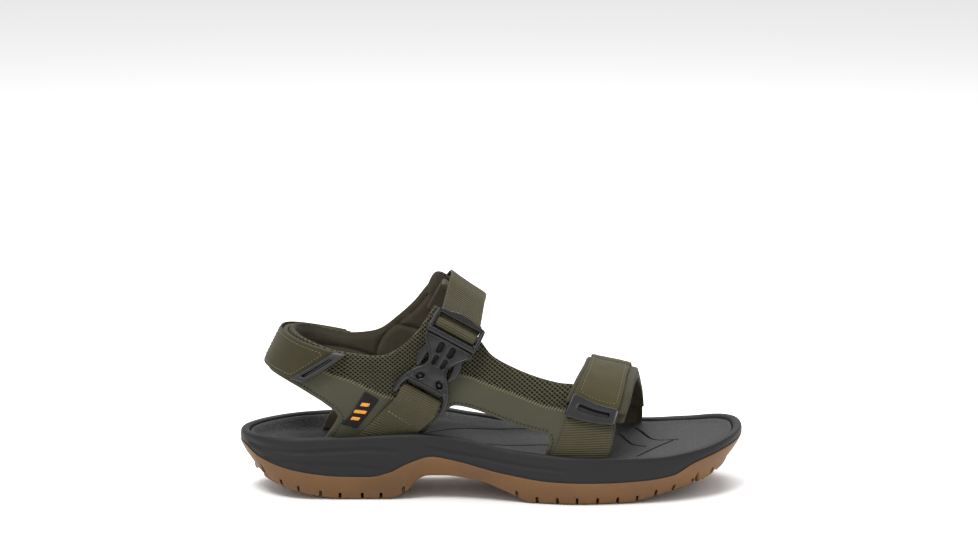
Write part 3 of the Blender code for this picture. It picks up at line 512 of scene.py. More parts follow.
def filled(outline, spacing, insets=(), lines=()):
    """Points and triangles inside an outline, with extra rows of points at insets from it and along lines."""
    outline = anticlockwise(outline)
    low, high = outline.min(axis=0), outline.max(axis=0)
    margin = max(insets, default=0)
    ways = [np.arange(low[i] + spacing / 2, high[i], spacing) for i in (0, 1)]
    grid = np.stack(np.meshgrid(*ways), axis=-1).reshape(-1, 2)
    grid = clear_of(grid, outline, margin + spacing * 0.5)
    rows = [outline] + [clear_of(moved_in(outline, inset), outline, inset * 0.93) for inset in insets]
    for line in lines:
        rows.append(clear_of(line, outline, margin + 0.1))
        if len(rows[-1]) > 1:
            grid = grid[distance_to(grid, line) > min(spacing * 0.5, 0.5)]
    points = np.concatenate(rows + [grid])
    made = delaunay_2d_cdt([Vector(p) for p in points], [], [list(range(len(outline)))], 1, 1e-4, False)
    flat, faces = np.array([tuple(v) for v in made[0]]), np.array(made[2])
    return flat, faces[inside(flat[faces].mean(axis=1), outline)]


def laid_sheet(name, finish, outline, place, top, bottom, spacing, insets=(), lines=(), **options):
    """A sheet cut to a flat outline and laid on the form.

    top and bottom are its faces' offsets: numbers, or functions of the flat points and how far they
    are from the outline.
    """
    flat, faces = filled(outline, spacing, insets, lines)
    reach = distance_to(flat, outline, closed=True)
    points = place(flat[:, 0], flat[:, 1])
    top, bottom = (offset(flat, reach) if callable(offset) else offset for offset in (top, bottom))
    return thick_sheet(name, finish, points, form_normals(points), faces, top, bottom, flat, **options)


def strip(name, finish, rows, normals, top, bottom, uv, **options):
    """A closed strip from a grid of points: rows run along it and columns across it."""
    faces = grid_faces(*rows.shape[:2])
    rows, normals, uv = rows.reshape(-1, 3), normals.reshape(-1, 3), uv.reshape(-1, 2)
    return thick_sheet(name, finish, rows, normals, faces, top.ravel(), bottom.ravel(), uv, **options)


def edge_spaced(half, spacing=1.6):
    """Places across a band from -half to half, closer together at both edges."""
    fine = np.array([0.0, 0.12, 0.35, 0.7, 1.2])
    middle = np.linspace(-half + 2.0, half - 2.0, max(3, round((2 * half - 4) / spacing)))
    return np.concatenate([-half + fine, middle, half - fine[::-1]])


RIB_PITCH = 1.3
RIB_HEIGHT = 0.17
RIBBED_STEP, PLAIN_STEP = 0.26, 1.5  # between rows of points along webbing on the form
FREE_STEP = 0.27


def woven_offsets(across, along, half, thickness, ribs=True):
    """Half thickness of webbing at each place: weft ribs across it, a plain selvedge and round edges."""
    edge = half - np.abs(across)
    rib = np.cos(2 * math.pi * along / RIB_PITCH) if ribs else np.zeros_like(along)
    raised = RIB_HEIGHT / 2 * rib * smoothstep(0.5, 1.6, edge)
    return np.maximum(thickness / 2 - edge_drop(edge, thickness * 0.45) + raised, 0.12)


def form_webbing(name, finish, loop, start, end, band, layer, skew=(0.0, 0.0), ribs=False, **options):
    """Webbing laid on the form between two arcs of a loop."""
    half, middle = (band[1] - band[0]) / 2, (band[0] + band[1]) / 2
    shares = np.linspace(0, 1, max(3, round(abs(end - start) / (RIBBED_STEP if ribs else PLAIN_STEP))))
    q, share = np.meshgrid(edge_spaced(half) + middle, shares)
    arc = start + (end - start) * share + (skew[0] * (1 - share) + skew[1] * share) * q
    points = loop.points(q, arc)
    thickness = woven_offsets(q - middle, arc, half, layer[1] - layer[0], ribs)
    centre = (layer[0] + layer[1]) / 2
    uv = np.stack([q, arc], axis=-1)
    return strip(name, finish, points, form_normals(points), centre + thickness, centre - thickness, uv,
                 **options)


def free_webbing(name, rows, half, **options):
    """Webbing whose middle surface runs smoothly through rows of points, each row straight across it."""
    rows = np.array(rows, float)
    middle = smooth_curve(rows, FREE_STEP * math.sqrt(rows.shape[1]))
    normals = unit(np.cross(np.gradient(middle, axis=0), np.gradient(middle, axis=1)))
    length = lengths_along(middle[:, middle.shape[1] // 2])
    q = np.broadcast_to(edge_spaced(half), middle.shape[:2])
    arc = np.broadcast_to(length[:, None], middle.shape[:2])
    thickness = woven_offsets(q, arc, half, WEBBING_THICKNESS)
    return strip(name, "webbing", middle, normals, thickness, -thickness, np.stack([q, arc], axis=-1),
                 **options)


# ---- thread ----------------------------------------------------------------------------------------

THREAD_RADIUS = 0.26
THREAD_SIDES = 6
THREAD_TURNS = np.linspace(-1, 1, 6)


def thread_mesh(starts, ends, normals, radius, lift):
    """Points and faces of one short arched thread for each start and end."""
    middle, reach = (starts + ends) / 2, (ends - starts) / 2
    direction = unit(reach)
    side = unit(np.cross(normals, direction))
    up = np.cross(direction, side)
    rings = []
    for t in THREAD_TURNS:
        centre = middle + reach * t + normals * lift * (1 - t * t) - normals * 0.1
        size = radius * math.sqrt(max(1 - 0.85 * t * t, 0.05))
        for k in range(THREAD_SIDES):
            turn = 2 * math.pi * k / THREAD_SIDES
            rings.append(centre + size * (math.cos(turn) * side + math.sin(turn) * up))
    faces = wall_faces(THREAD_SIDES, len(THREAD_TURNS)).tolist()
    for at in (0, len(rings) - THREAD_SIDES):
        faces += [(at, at + 1, at + 2, at + 3), (at, at + 3, at + 4, at + 5)]
    shifts = (np.arange(len(starts)) * len(rings))[:, None, None]
    return np.stack(rings, axis=1).reshape(-1, 3), (np.array(faces)[None] + shifts).reshape(-1, 4)


class Sewing:
    """Threads gathered by the piece that they belong to, until make() turns each lot into one mesh."""

    def __init__(self):
        self.lots = {}

    def add(self, name, finish, starts, ends, normals, radius=THREAD_RADIUS, lift=0.22, **options):
        lot = self.lots.setdefault(name, (finish, options, []))
        lot[2].append(thread_mesh(starts, ends, normals, radius, lift))

    def make(self):
        for name, (finish, options, threads) in self.lots.items():
            offsets = np.cumsum([0] + [len(points) for points, _ in threads])
            points = np.concatenate([points for points, _ in threads])
            faces = np.concatenate([faces + offset for (_, faces), offset in zip(threads, offsets)])
            mesh_piece(name, finish, points, faces, weld=False, sharp=60, **options)


sewing = Sewing()


def running_stitch(name, finish, line, place, height, pitch, length, **options):
    """A row of stitches along a flat line laid on the form at a height off it."""
    fine = even_line(line, 0.3)
    points = place(fine[:, 0], fine[:, 1])
    normals = form_normals(points)
    points = points + normals * height
    lengths = lengths_along(points)
    count = int(lengths[-1] / pitch)
    if count < 1:
        return
    begins = np.arange(count) * (lengths[-1] / count) + (lengths[-1] / count - length) / 2
    starts, ends = (read_at(points, lengths, at) for at in (begins, begins + length))
    sewing.add(name, finish, starts, ends, unit(read_at(normals, lengths, begins)), **options)


BORDER_PITCH = 1.7
BORDER_REACH = (1.5, -0.9)  # how far a border thread goes in over the sheet and out past its edge
BORDER_LEAN = 0.35  # share of the pitch


def border_stitch(name, finish, line, place, heights, **options):
    """Slanted threads over an edge: line runs along the edge with the upper sheet on its left."""
    even = even_line(line, BORDER_PITCH)
    along = unit(np.gradient(even, axis=0))
    ends = []
    for reach, height, lean in zip(BORDER_REACH, heights, (BORDER_LEAN, -BORDER_LEAN)):
        flat = even + left_of(along) * reach + along * lean * BORDER_PITCH
        points = place(flat[:, 0], flat[:, 1])
        ends.append(points + form_normals(points) * height)
    normals = form_normals(place(even[:, 0], even[:, 1]))
    sewing.add(name, finish, *ends, normals, radius=0.24, lift=0.35, **options)


def box_line(low_u, high_u, low_v, high_v, radius=2.0):
    box = rounded_box(low_u, high_u, low_v, high_v, radius)
    return np.concatenate([box, box[:1]])


# ---- materials -------------------------------------------------------------------------------------


def colour(red, green, blue, gain=1.0):
    """A linear colour from 8-bit display values."""
    shown = np.array([red, green, blue]) / 255
    linear = np.where(shown <= 0.04045, shown / 12.92, ((shown + 0.055) / 1.055) ** 2.4)
    return (*(float(v) * gain for v in linear), 1.0)


class Finish:
    """Builds one material's nodes: each method adds nodes and returns the socket that they end in."""

    def __init__(self, name, roughness=0.6, specular=0.5, sheen=0.0):
        self.made = bpy.data.materials.new(name)
        self.made.use_nodes = True
        self.tree = self.made.node_tree
        self.shader = self.tree.nodes["Principled BSDF"].inputs
        surface = {"Roughness": roughness, "Specular IOR Level": specular}
        for key, value in {**surface, "Sheen Weight": sheen, "Sheen Roughness": 0.5}.items():
            self.shader[key].default_value = value
        self.coordinates = self.tree.nodes.new("ShaderNodeTexCoord").outputs["Object"]
        self.bumps = None

    def feed(self, socket, value):
        """Gives an input a value or another node's output."""
        if isinstance(value, (int, float, tuple)):
            socket.default_value = value
        else:
            self.tree.links.new(value, socket)

    def node(self, kind, inputs, **settings):
        node = self.tree.nodes.new("ShaderNode" + kind)
        for key, value in settings.items():
            setattr(node, key, value)
        for key, value in inputs.items():
            self.feed(node.inputs[key], value)
        return node

    def math(self, operation, *values):
        return self.node("Math", dict(enumerate(values)), operation=operation).outputs[0]

    def wave(self, value, period, operation="SINE"):
        """From 0 to 1 and back in each period of a value."""
        turn = self.math("MULTIPLY", value, 2 * math.pi / period)
        return self.math("MULTIPLY_ADD", self.math(operation, turn), 0.5, 0.5)

    def noise(self, scale, detail=3.0, rough=0.55):
        """Noise whose features are about 1 / scale of a metre wide, from 0 to 1."""
        inputs = {"Scale": scale, "Detail": detail, "Roughness": rough, "Vector": self.coordinates}
        return self.node("TexNoise", inputs).outputs["Fac"]

    def cells(self, scale):
        inputs = {"Scale": scale, "Vector": self.coordinates}
        return self.node("TexVoronoi", inputs, feature="F1").outputs["Distance"]

    def pattern(self):
        """The flat pattern's two coordinates in millimetres."""
        source = self.node("UVMap", {}, uv_map="pattern").outputs[0]
        split = self.node("SeparateXYZ", {0: source})
        return split.outputs[0], split.outputs[1]

    def ramp(self, value, *stops):
        """Colours, or numbers as greys, along a value: each stop is a place from 0 to 1 and what it holds."""
        node = self.node("ValToRGB", {0: value})
        elements = node.color_ramp.elements
        while len(elements) < len(stops):
            elements.new(0.5)
        for element, (place, shade) in zip(elements, stops):
            element.position = place
            element.color = shade if isinstance(shade, tuple) else (shade, shade, shade, 1)
        return node.outputs[0]

    def tint(self, value, base, low, high):
        """A colour that goes from low to high times itself with a value."""
        return self.ramp(value, (0.3, shaded(base, low)), (0.7, shaded(base, high)))

    def mix(self, share, first, second):
        return self.node("Mix", {0: share, 6: first, 7: second}, data_type="RGBA").outputs[2]

    def paint(self, value):
        self.feed(self.shader["Base Color"], value)

    def rough(self, value, low, high):
        spread = self.node("MapRange", {"To Min": low, "To Max": high, "Value": value})
        self.feed(self.shader["Roughness"], spread.outputs[0])

    def bump(self, height, depth, strength):
        """Adds relief of that depth in metres."""
        below = {} if self.bumps is None else {"Normal": self.bumps}
        self.bumps = self.node("Bump", {"Distance": depth, "Strength": strength, "Height": height,
                                        **below}).outputs[0]
        self.feed(self.shader["Normal"], self.bumps)


def shaded(base, amount):
    return tuple(min(c * amount, 1.0) for c in base[:3]) + (1.0,)


def synthetic_finish(name, base):
    """Smooth microfibre: fine pebbled grain, soft mottling and slightly rubbed high spots."""
    made = Finish(name, roughness=0.58, specular=0.3, sheen=0.04)
    mottle = made.noise(60, 4)
    grain = made.cells(2600)
    tint = made.tint(mottle, base, 0.88, 1.12)
    made.paint(made.mix(made.ramp(grain, (0.1, 0.0), (0.6, 0.35)), tint, shaded(base, 1.35)))
    made.rough(mottle, 0.52, 0.72)
    made.bump(grain, 0.00006, 0.6)
    made.bump(made.noise(420, 3), 0.00012, 0.5)
    return made.made


def fabric_finish(name, base, thread=0.55, fuzz=0.08):
    """Closely woven cloth: two sets of fine threads from the pattern's coordinates, with fuzz."""
    made = Finish(name, roughness=0.85, specular=0.2, sheen=fuzz)
    warp, weft = (made.math("SINE", made.math("MULTIPLY", way,
                                              2 * math.pi / thread)) for way in made.pattern())
    weave = made.math("MULTIPLY_ADD", made.math("MULTIPLY", warp, weft), 0.5, 0.5)
    tint = made.tint(made.noise(90, 4), base, 0.85, 1.15)
    made.paint(made.mix(made.ramp(weave, (0.0, 0.0), (1.0, 0.45)), tint, shaded(base, 1.5)))
    made.bump(weave, 0.00010, 0.8)
    made.bump(made.noise(3500, 2), 0.00005, 0.6)
    return made.made


def webbing_finish(name, base, light):
    """Ribbed nylon webbing: painted highlight on the rib crowns, painted shade in the gaps between them, and
    twisted threads along each rib.
    """
    made = Finish(name, roughness=0.62, specular=0.3, sheen=0.05)
    u, v = made.pattern()
    rib = made.wave(v, RIB_PITCH, "COSINE")
    twist = made.wave(made.math("ADD", u, made.math("MULTIPLY", v, 0.6)), 0.62)
    # The crown colour is a painted highlight: the rib tops are painted lighter as if lit.
    crown = made.mix(made.ramp(made.noise(160, 4), (0.3, 0.0), (0.7, 1.0)), light, shaded(light, 0.8))
    body = made.mix(made.ramp(twist, (0.0, 0.0), (1.0, 0.4)), crown, shaded(base, 0.9))
    # Painted shade: the gaps between the ribs are painted down to 0.42 of the base colour.
    made.paint(made.mix(made.ramp(rib, (0.05, 1.0), (0.6, 0.0)), body, shaded(base, 0.42)))
    made.bump(rib, 0.00018, 0.7)
    made.bump(twist, 0.00006, 0.8)
    made.bump(made.noise(4000, 2), 0.00003, 0.6)
    return made.made


MESH_CELL = (2.9, 2.3)  # width and height of one diamond of the open mesh


def diamonds(u, v):
    """1 in the middle of each hole of the open mesh and 0 on its threads."""
    first = np.abs(np.sin(math.pi * (u / MESH_CELL[0] + v / MESH_CELL[1])))
    second = np.abs(np.sin(math.pi * (u / MESH_CELL[0] - v / MESH_CELL[1])))
    return smoothstep(0.36, 0.72, np.minimum(first, second))


def open_mesh_finish(name, thread, painted_hole_shade):
    """Open diamond mesh with its holes painted near-black as painted shade: the same rule of holes as the
    geometry's.
    """
    made = Finish(name, roughness=0.78, specular=0.2, sheen=0.04)
    u, v = made.pattern()
    across = made.math("MULTIPLY", u, math.pi / MESH_CELL[0])
    up = made.math("MULTIPLY", v, math.pi / MESH_CELL[1])
    first = made.math("ABSOLUTE", made.math("SINE", made.math("ADD", across, up)))
    second = made.math("ABSOLUTE", made.math("SINE", made.math("SUBTRACT", across, up)))
    depth = made.math("MINIMUM", first, second)
    twist = made.wave(made.math("SUBTRACT", first, second), math.pi / 9)
    mottle = made.ramp(made.noise(120, 4), (0.3, 0.0), (0.7, 1.0))
    tint = made.mix(mottle, shaded(thread, 0.85), shaded(thread, 1.15))
    tint = made.mix(made.ramp(twist, (0.0, 0.0), (1.0, 0.35)), tint, shaded(thread, 0.7))
    # Painted shade: each hole is painted near-black where it sinks in.
    made.paint(made.mix(made.ramp(depth, (0.28, 0.0), (0.48, 1.0)), tint, painted_hole_shade))
    made.bump(made.ramp(depth, (0.0, 1.0), (0.55, 0.0)), 0.0002, 0.6)
    made.bump(made.noise(3000, 2), 0.00005, 0.6)
    return made.made


def foam_finish(name, base, grain_scale, grain_depth, light=1.3, roughness=(0.45, 0.62)):
    """Moulded foam: pebbled skin and faint scuffs."""
    made = Finish(name, roughness=0.55, specular=0.3)
    pebble = made.cells(grain_scale)
    scuff = made.noise(25, 6, 0.65)
    speck = made.noise(grain_scale * 0.7, 3, 0.7)
    tint = made.ramp(scuff, (0.35, shaded(base, 0.82)), (0.68, shaded(base, 1.2)))
    made.paint(made.mix(made.ramp(speck, (0.48, 0.0), (0.66, 0.7)), tint, shaded(base, light)))
    made.rough(scuff, *roughness)
    made.bump(pebble, grain_depth, 0.9)
    made.bump(made.noise(300, 3), 0.00006, 0.4)
    return made.made


def rubber_finish(name, base):
    """Gum rubber: cloudy tint, darker specks and a soft shine."""
    made = Finish(name, roughness=0.5, specular=0.4)
    cloud = made.noise(22, 5, 0.6)
    speck = made.noise(900, 2, 0.7)
    tint = made.ramp(cloud, (0.3, shaded(base, 0.84)), (0.5, base), (0.72, shaded(base, 1.22)))
    made.paint(made.mix(made.ramp(speck, (0.56, 0.0), (0.75, 0.35)), tint, shaded(base, 0.6)))
    made.rough(cloud, 0.42, 0.6)
    made.bump(made.cells(1500), 0.00005, 0.6)
    made.bump(made.noise(120, 3), 0.0002, 0.3)
    return made.made


def plastic_finish(name, base, roughness=(0.28, 0.42)):
    """Moulded plastic: fine spark-eroded grain with smoother patches."""
    made = Finish(name, roughness=0.35, specular=0.5)
    patch = made.noise(140, 4)
    made.paint(made.tint(patch, base, 0.8, 1.25))
    made.rough(patch, *roughness)
    made.bump(made.noise(2600, 2), 0.00003, 0.5)
    return made.made


def hook_finish(name, base):
    """Hook tape: rows of stiff hooks with a painted highlight, on a ground painted darker as painted shade.
    """
    made = Finish(name, roughness=0.6, specular=0.4)
    waves = (made.math("SINE", made.math("MULTIPLY", way, math.pi / 1.1)) for way in made.pattern())
    hook = made.math("MULTIPLY", *(made.math("ABSOLUTE", wave) for wave in waves))
    # Painted highlight on the hooks and painted shade on the ground between them.
    made.paint(made.ramp(hook, (0.3, shaded(base, 0.5)), (0.8, shaded(base, 2.2))))
    made.bump(hook, 0.0005, 0.9)
    return made.made


def thread_finish(name, base):
    made = Finish(name, roughness=0.55, specular=0.35, sheen=0.05)
    made.paint(made.tint(made.noise(900, 2), base, 0.75, 1.2))
    made.bump(made.noise(5000, 2), 0.00006, 0.8)
    return made.made


OLIVE = colour(84, 82, 60, 0.43)
# Each finish with its slot name and its material.
FINISHES = {
    "synthetic": ("synthetic", synthetic_finish("olive_microfibre", OLIVE)),
    "heel_flap": ("synthetic", fabric_finish("heel_flap_cloth", colour(74, 68, 42, 0.41))),
    "forefoot_flap": ("synthetic", fabric_finish("forefoot_flap_cloth", colour(90, 83, 50, 0.38))),
    # The webbing's second colour is the painted highlight on its rib crowns.
    "webbing": ("webbing", webbing_finish(
        "ribbed_webbing", colour(84, 77, 46, 0.43), colour(106, 98, 62, 0.45)
    )),
    # The mesh's second colour is painted shade, near-black in its holes.
    "mesh": ("mesh", open_mesh_finish("open_mesh", colour(96, 92, 66, 0.66), colour(14, 14, 10))),
    "lining": ("lining", fabric_finish("brown_lining", colour(74, 67, 52, 0.62), thread=0.4, fuzz=0.1)),
    "band": ("webbing", fabric_finish("padded_band", colour(68, 64, 46, 0.62))),
    "hook": ("hook", hook_finish("hook_tape", colour(30, 30, 28))),
    "foam": ("foam", foam_finish(
        "midsole_foam", colour(36, 36, 38, 0.4), 1500, 0.00006, roughness=(0.5, 0.66)
    )),
    "footbed": ("footbed_foam", foam_finish(
        "footbed_foam", colour(62, 62, 63, 0.45), 1200, 0.0002, light=2.8, roughness=(0.6, 0.75)
    )),
    "rubber": ("rubber", rubber_finish("gum_rubber", colour(127, 87, 42, 0.6))),
    "plastic": ("plastic", plastic_finish(
        "black_plastic", colour(20, 20, 22, 0.42), roughness=(0.22, 0.36)
    )),
    # A darker copy of the black plastic: painted shade on the shell seen behind the buckle face's holes.
    "shade": ("plastic", plastic_finish("painted_shade_plastic", colour(11, 11, 12, 0.5), roughness=(0.5, 0.6))),
    "tab": ("tab_rubber", plastic_finish("tab_rubber", colour(28, 28, 30, 0.5), roughness=(0.34, 0.48))),
    "label": ("label", fabric_finish("label_weave", colour(24, 23, 25, 0.8), thread=0.5, fuzz=0.05)),
    "orange": ("label", thread_finish("orange_thread", colour(226, 148, 50, 0.9))),
    "thread": ("synthetic", thread_finish("olive_thread", colour(104, 99, 72, 0.8))),
    "dark_thread": ("synthetic", thread_finish("dark_thread", colour(30, 29, 20, 0.6))),
    "light_thread": ("synthetic", thread_finish("light_thread", colour(122, 118, 88, 0.75))),
    "nylon": ("nylon", plastic_finish("pale_nylon", colour(150, 150, 146))),
}

# ---- sole unit -------------------------------------------------------------------------------------

LUG_CUTS = [-127, -116, -102.5, -91, -78, -67, -54, 12, 23.5, 35.5, 47.5, 60, 72, 83.5, 95, 106, 118, 131]
LUG_CUT_HALF = 0.65
LUG_CUT_HEIGHT = 4.6
TOE_NOTCH, HEEL_NOTCH = 120.5, -138.0
NOTCH_HALF, NOTCH_HEIGHT = 2.2, 8.0
EXTRA_STATIONS = (-LUG_CUT_HALF - 0.25, -LUG_CUT_HALF, 0.0, LUG_CUT_HALF, LUG_CUT_HALF + 0.25)
JOINT_GAP = 0.3  # between the sole's layers


def sole_stations(count, extra=()):
    """Places along the sole, closer together at its ends, with extra ones merged in."""
    base = -HALF + LENGTH * (1 - np.cos(np.pi * np.arange(count + 1) / count)) / 2
    added = np.array(sorted(extra))
    if len(added):
        base = base[np.abs(base[:, None] - added[None]).min(axis=1) > 0.3]
    return np.sort(np.concatenate([base, added]))


class SoleRing:
    """The sole's outline at fixed stations, and its copies moved in.

    It runs from the heel's tip along the lateral side to the toe's, and back along the medial side.
    """

    def __init__(self, stations):
        inner = stations[1:-1]
        lateral, medial = (np.stack([inner, sole_edge(inner, side)], axis=1) for side in (-1, 1))
        self.ring = np.concatenate([[(-HALF, 0.0)], lateral, [(HALF, TOE_TIP_Y)], medial[::-1]])
        self.inward = unit(left_of(np.roll(self.ring, -1, axis=0) - np.roll(self.ring, 1, axis=0)))

    def at(self, inset):
        return self.ring + np.reshape(inset, (-1, 1)) * self.inward

    def level(self, inset, height, rise=0.0):
        """The outline moved in, a rise above the height that a function gives at each x and y."""
        ring = self.at(inset)
        return with_height(ring, height(*ring.T) + rise)


def ring_solid(name, finish, rings, caps, replaces, columns=2):
    """A closed solid through a stack of rings. caps give its two ends' heights, or None for flat."""
    count, half = len(rings[0]), len(rings[0]) // 2
    stack = np.concatenate(rings)
    points, faces = [stack], [wall_faces(count, len(rings))]
    ahead = np.arange(half + 1)
    back = (count - ahead) % count
    shares = np.linspace(0, 1, columns + 1)[1:-1]
    total = len(stack)
    for start, height in ((0, caps[0]), (len(stack) - count, caps[1])):
        left, right = stack[start + ahead], stack[start + back]
        between = left[:, None] * (1 - shares[None, :, None]) + right[:, None] * shares[None, :, None]
        if height is not None:
            between[:, :, 2] = height(between[:, :, 0], between[:, :, 1], left[:, None, 0], shares[None, :])
        at = np.zeros((half + 1, columns + 1), int)
        at[:, 0], at[:, -1] = start + ahead, start + back
        at[:, 1:-1] = total + np.arange((half + 1) * (columns - 1)).reshape(half + 1, columns - 1)
        total += (half + 1) * (columns - 1)
        points.append(between.reshape(-1, 3))
        faces.append(at.ravel()[grid_faces(half + 1, columns + 1)])
    whole = [list(dict.fromkeys(f)) for f in np.concatenate(faces).tolist()]
    whole = [f for f in whole if len(f) > 2]
    return mesh_piece(name, finish, np.concatenate(points), whole, replaces=replaces, sharp=50)


def with_height(ring, height):
    return np.concatenate([ring, np.reshape(height, (-1, 1))], axis=1)


def make_outsole():
    """Cupped gum rubber outsole: lugs cut by sipes, notches at heel and toe, and tread blocks."""
    extra = [cut + d for cut in LUG_CUTS for d in EXTRA_STATIONS]
    extra += [notch + d for notch in (TOE_NOTCH, HEEL_NOTCH) for d in (-2.2, -1.4, -0.7, 0.0, 0.7, 1.4, 2.2)]
    base = SoleRing(sole_stations(260, extra))
    x = base.ring[:, 0]

    def notch(x):
        cuts = np.abs(x[..., None] - np.array(LUG_CUTS)).min(axis=-1)
        height = LUG_CUT_HEIGHT * (cuts <= LUG_CUT_HALF + 0.05)
        for place in (TOE_NOTCH, HEEL_NOTCH):
            height = np.maximum(height, NOTCH_HEIGHT * np.clip(1 - np.abs(x - place) / NOTCH_HALF, 0, 1))
        return height

    profile = [(8.0, 0.0), (6.3, 0.02), (5.2, 0.07), (4.3, 0.16), (3.4, 0.28), (2.5, 0.42), (1.7, 0.56)]
    profile += [(1.0, 0.70), (0.5, 0.83), (0.15, 0.93), (0.05, 0.975), (0.25, 1.0), (3.0, 1.0)]
    rings = []
    for inset, share in profile:
        ring = base.at(inset)
        rim = boundary_height(*ring.T)
        height = BOTTOM(x) * (1 - share) + rim * share
        rings.append(with_height(ring, np.minimum(np.maximum(height, BOTTOM(x) + notch(x)), rim)))
    rings += [base.level(inset, midsole_underside) for inset in (6.0, 12.0)]

    def tread(px, py, station, share):
        edge = np.minimum(share, 1 - share)
        sipes = notch(np.broadcast_to(station, px.shape)) * smoothstep(0.32, 0.2, edge)
        wave = np.abs(((px + 26 * np.abs(share - 0.5)) / 12.0) % 1 - 0.5)
        chevrons = 2.6 * smoothstep(0.40, 0.46, wave) * smoothstep(0.08, 0.16, edge)
        channel = 2.6 * smoothstep(0.035, 0.02, np.abs(edge - 0.26))
        return BOTTOM(px) + np.maximum(np.maximum(sipes, chevrons), channel * (BOTTOM(px) < 12))

    ring_solid("outsole_rubber", "rubber", rings, (tread, None), ["outsole"], columns=72)


# Flutes that flow along the midsole's wall: places along it and heights, then depth and half width.
FLUTES = [
    ([(-143, 32), (-130, 30.0), (-110, 29.5), (-90, 30.5), (-72, 31.2), (-58, 30.0)], 1.1, 1.5),
    ([(-134, 25), (-120, 23.5), (-104, 22.3), (-88, 21.5), (-76, 20.5), (-66, 19.6)], 0.9, 1.4),
    ([(-40, 33.0), (-28, 30.0), (-12, 27.8), (2, 25.6), (16, 23.4), (40, 21.5)], 1.0, 1.5),
]


def make_midsole():
    """Foam midsole: fluted side wall, round rim and the recess for the footbed."""
    base = SoleRing(sole_stations(300))
    wall = smooth_table([(0, 0.6), (0.12, 0.15), (0.3, 0.0), (0.55, 0.2), (0.75, 0.75), (0.9, 1.7),
                         (1.0, 3.0)])
    flutes = [(smooth_curve(line, 6), depth, width) for line, depth, width in FLUTES]
    rings = [base.level(inset, midsole_underside, JOINT_GAP) for inset in (20.0, 6.0)]
    rings.append(base.level(3.0, boundary_height, JOINT_GAP / 2))
    low = boundary_height(*base.ring.T) + JOINT_GAP / 2
    for share in np.linspace(0, 1, 34):
        inset = float(wall(share))
        high = rim_height(*base.at(inset).T)
        height = low + (high - low) * math.sin(share * math.pi / 2) ** 1.15
        place = np.stack([base.ring[:, 0], height], axis=1)
        cut = sum(depth * dent(distance_to(place, line), width) for line, depth, width in flutes)
        rings.append(with_height(base.at(inset + cut), height))
    for inset, drop in ((3.8, 0.03), (4.5, 0.25), (5.0, 0.6), (5.3, 1.1), (5.5, 2.0)):
        rings.append(base.level(inset, rim_height, -drop))
    rings += [base.level(inset, footbed_height, -FOOTBED_THICKNESS - JOINT_GAP) for inset in (6.0, 20.0)]
    ring_solid("midsole_foam", "foam", rings, (None, None), ["midsole"])


# Sipes moulded into the footbed, as lines on its plan.
FOOTBED_LINES = [
    [(-70, -12), (-52, -8), (-35.6, -1), (-8, 12), (17.7, 24), (40, 30)],
    [(-30, -24), (-10, -23), (12, -17), (34.4, -9.2), (52, -4)],
    [(88, 34), (90.7, 27), (96.7, 6), (109.3, 1)],
    [(76, 24), (78.7, 15), (82.9, -4.7), (89.5, -11)],
    [(84, -36), (88, -29), (95.5, -16), (102, -7), (109, 1)],
]
LINE_DEPTH = 1.3
LINE_HALF = 0.55


def make_footbed():
    """Grainy foam footbed, rolled up to the rim at its edge, with sipes moulded into it."""
    outline = even_line(SoleRing(sole_stations(160)).at(5.9), 1.6, closed=True)
    lines, extra = [smooth_curve(line, 0.8) for line in FOOTBED_LINES], []
    for line in lines:
        for shift in (-LINE_HALF - 0.35, -LINE_HALF, 0.0, LINE_HALF, LINE_HALF + 0.35):
            extra.append(moved_in(line, shift, closed=False))
    flat, faces = filled(outline, 1.7, insets=(0.3, 0.8, 1.6, 2.8, 4.5, 6.5), lines=extra)
    x, y = flat.T
    reach = distance_to(flat, outline, closed=True)
    height = footbed_height(x, y)
    rim = rim_height(x, y)
    roll = smoothstep(7.5, 0.6, reach)
    height = height + (np.maximum(rim - 1.6, height) - height) * roll**1.5
    height = height - edge_drop(reach, 0.8)
    for line in lines:
        groove = smoothstep(LINE_HALF + 0.35, LINE_HALF, distance_to(flat, line))
        height -= LINE_DEPTH * groove * smoothstep(3, 7, reach)
    foot = footbed_height(x, y) - FOOTBED_THICKNESS
    points = np.concatenate([with_height(flat, height), with_height(flat, foot)])
    mesh_piece("footbed_foam", "footbed", points, closed_faces(faces, len(flat)),
               np.concatenate([flat, flat]),
               replaces=["footbed"], sharp=55)


# ---- side panels -----------------------------------------------------------------------------------
# Edges are lists of (s, z) on the flat pattern, for the lateral side, -1, and the medial side, 1.

COLLAR_TOP = {
    -1: [(BACK_SEAM, 97), (-126, 96.5), (-110, 94), (-94, 90), (-82, 88), (-70, 86.5), (-61, 88), (-50, 95.5),
         (-42, 104.5), (-35, 114.5)],
    1: [(BACK_SEAM, 97), (-126, 96.5), (-110, 94), (-96, 90), (-87, 88), (-75, 88.5), (-66, 91), (-57, 98),
        (-47, 107.5), (-39, 118)],
}
INSTEP_END = {-1: [(-35, 114.5), (-14, 100.5)], 1: [(-39, 118), (-31.5, 127), (-8, 109.5)]}
VAMP_TOP = {
    -1: [(-14, 100.5), (-7.5, 92.5), (-1, 85), (11.6, 78), (25, 72.5), (37, 68.8), (45, 67.3)],
    1: [(-8, 109.5), (-13, 98), (-16, 88), (-12, 79), (0, 70.5), (11.6, 64), (25, 58.5), (40, 54),
        (59, 51.5)],
}
HEEL_BOTTOM = {
    -1: [(-92, 56.5), (-97.5, 61.5), (-108, 67.5), (-122, 71.5), (BACK_SEAM, 73)],
    1: [(-90.5, 57), (-96, 62), (-107, 67.5), (-122, 71.5), (BACK_SEAM, 73)],
}
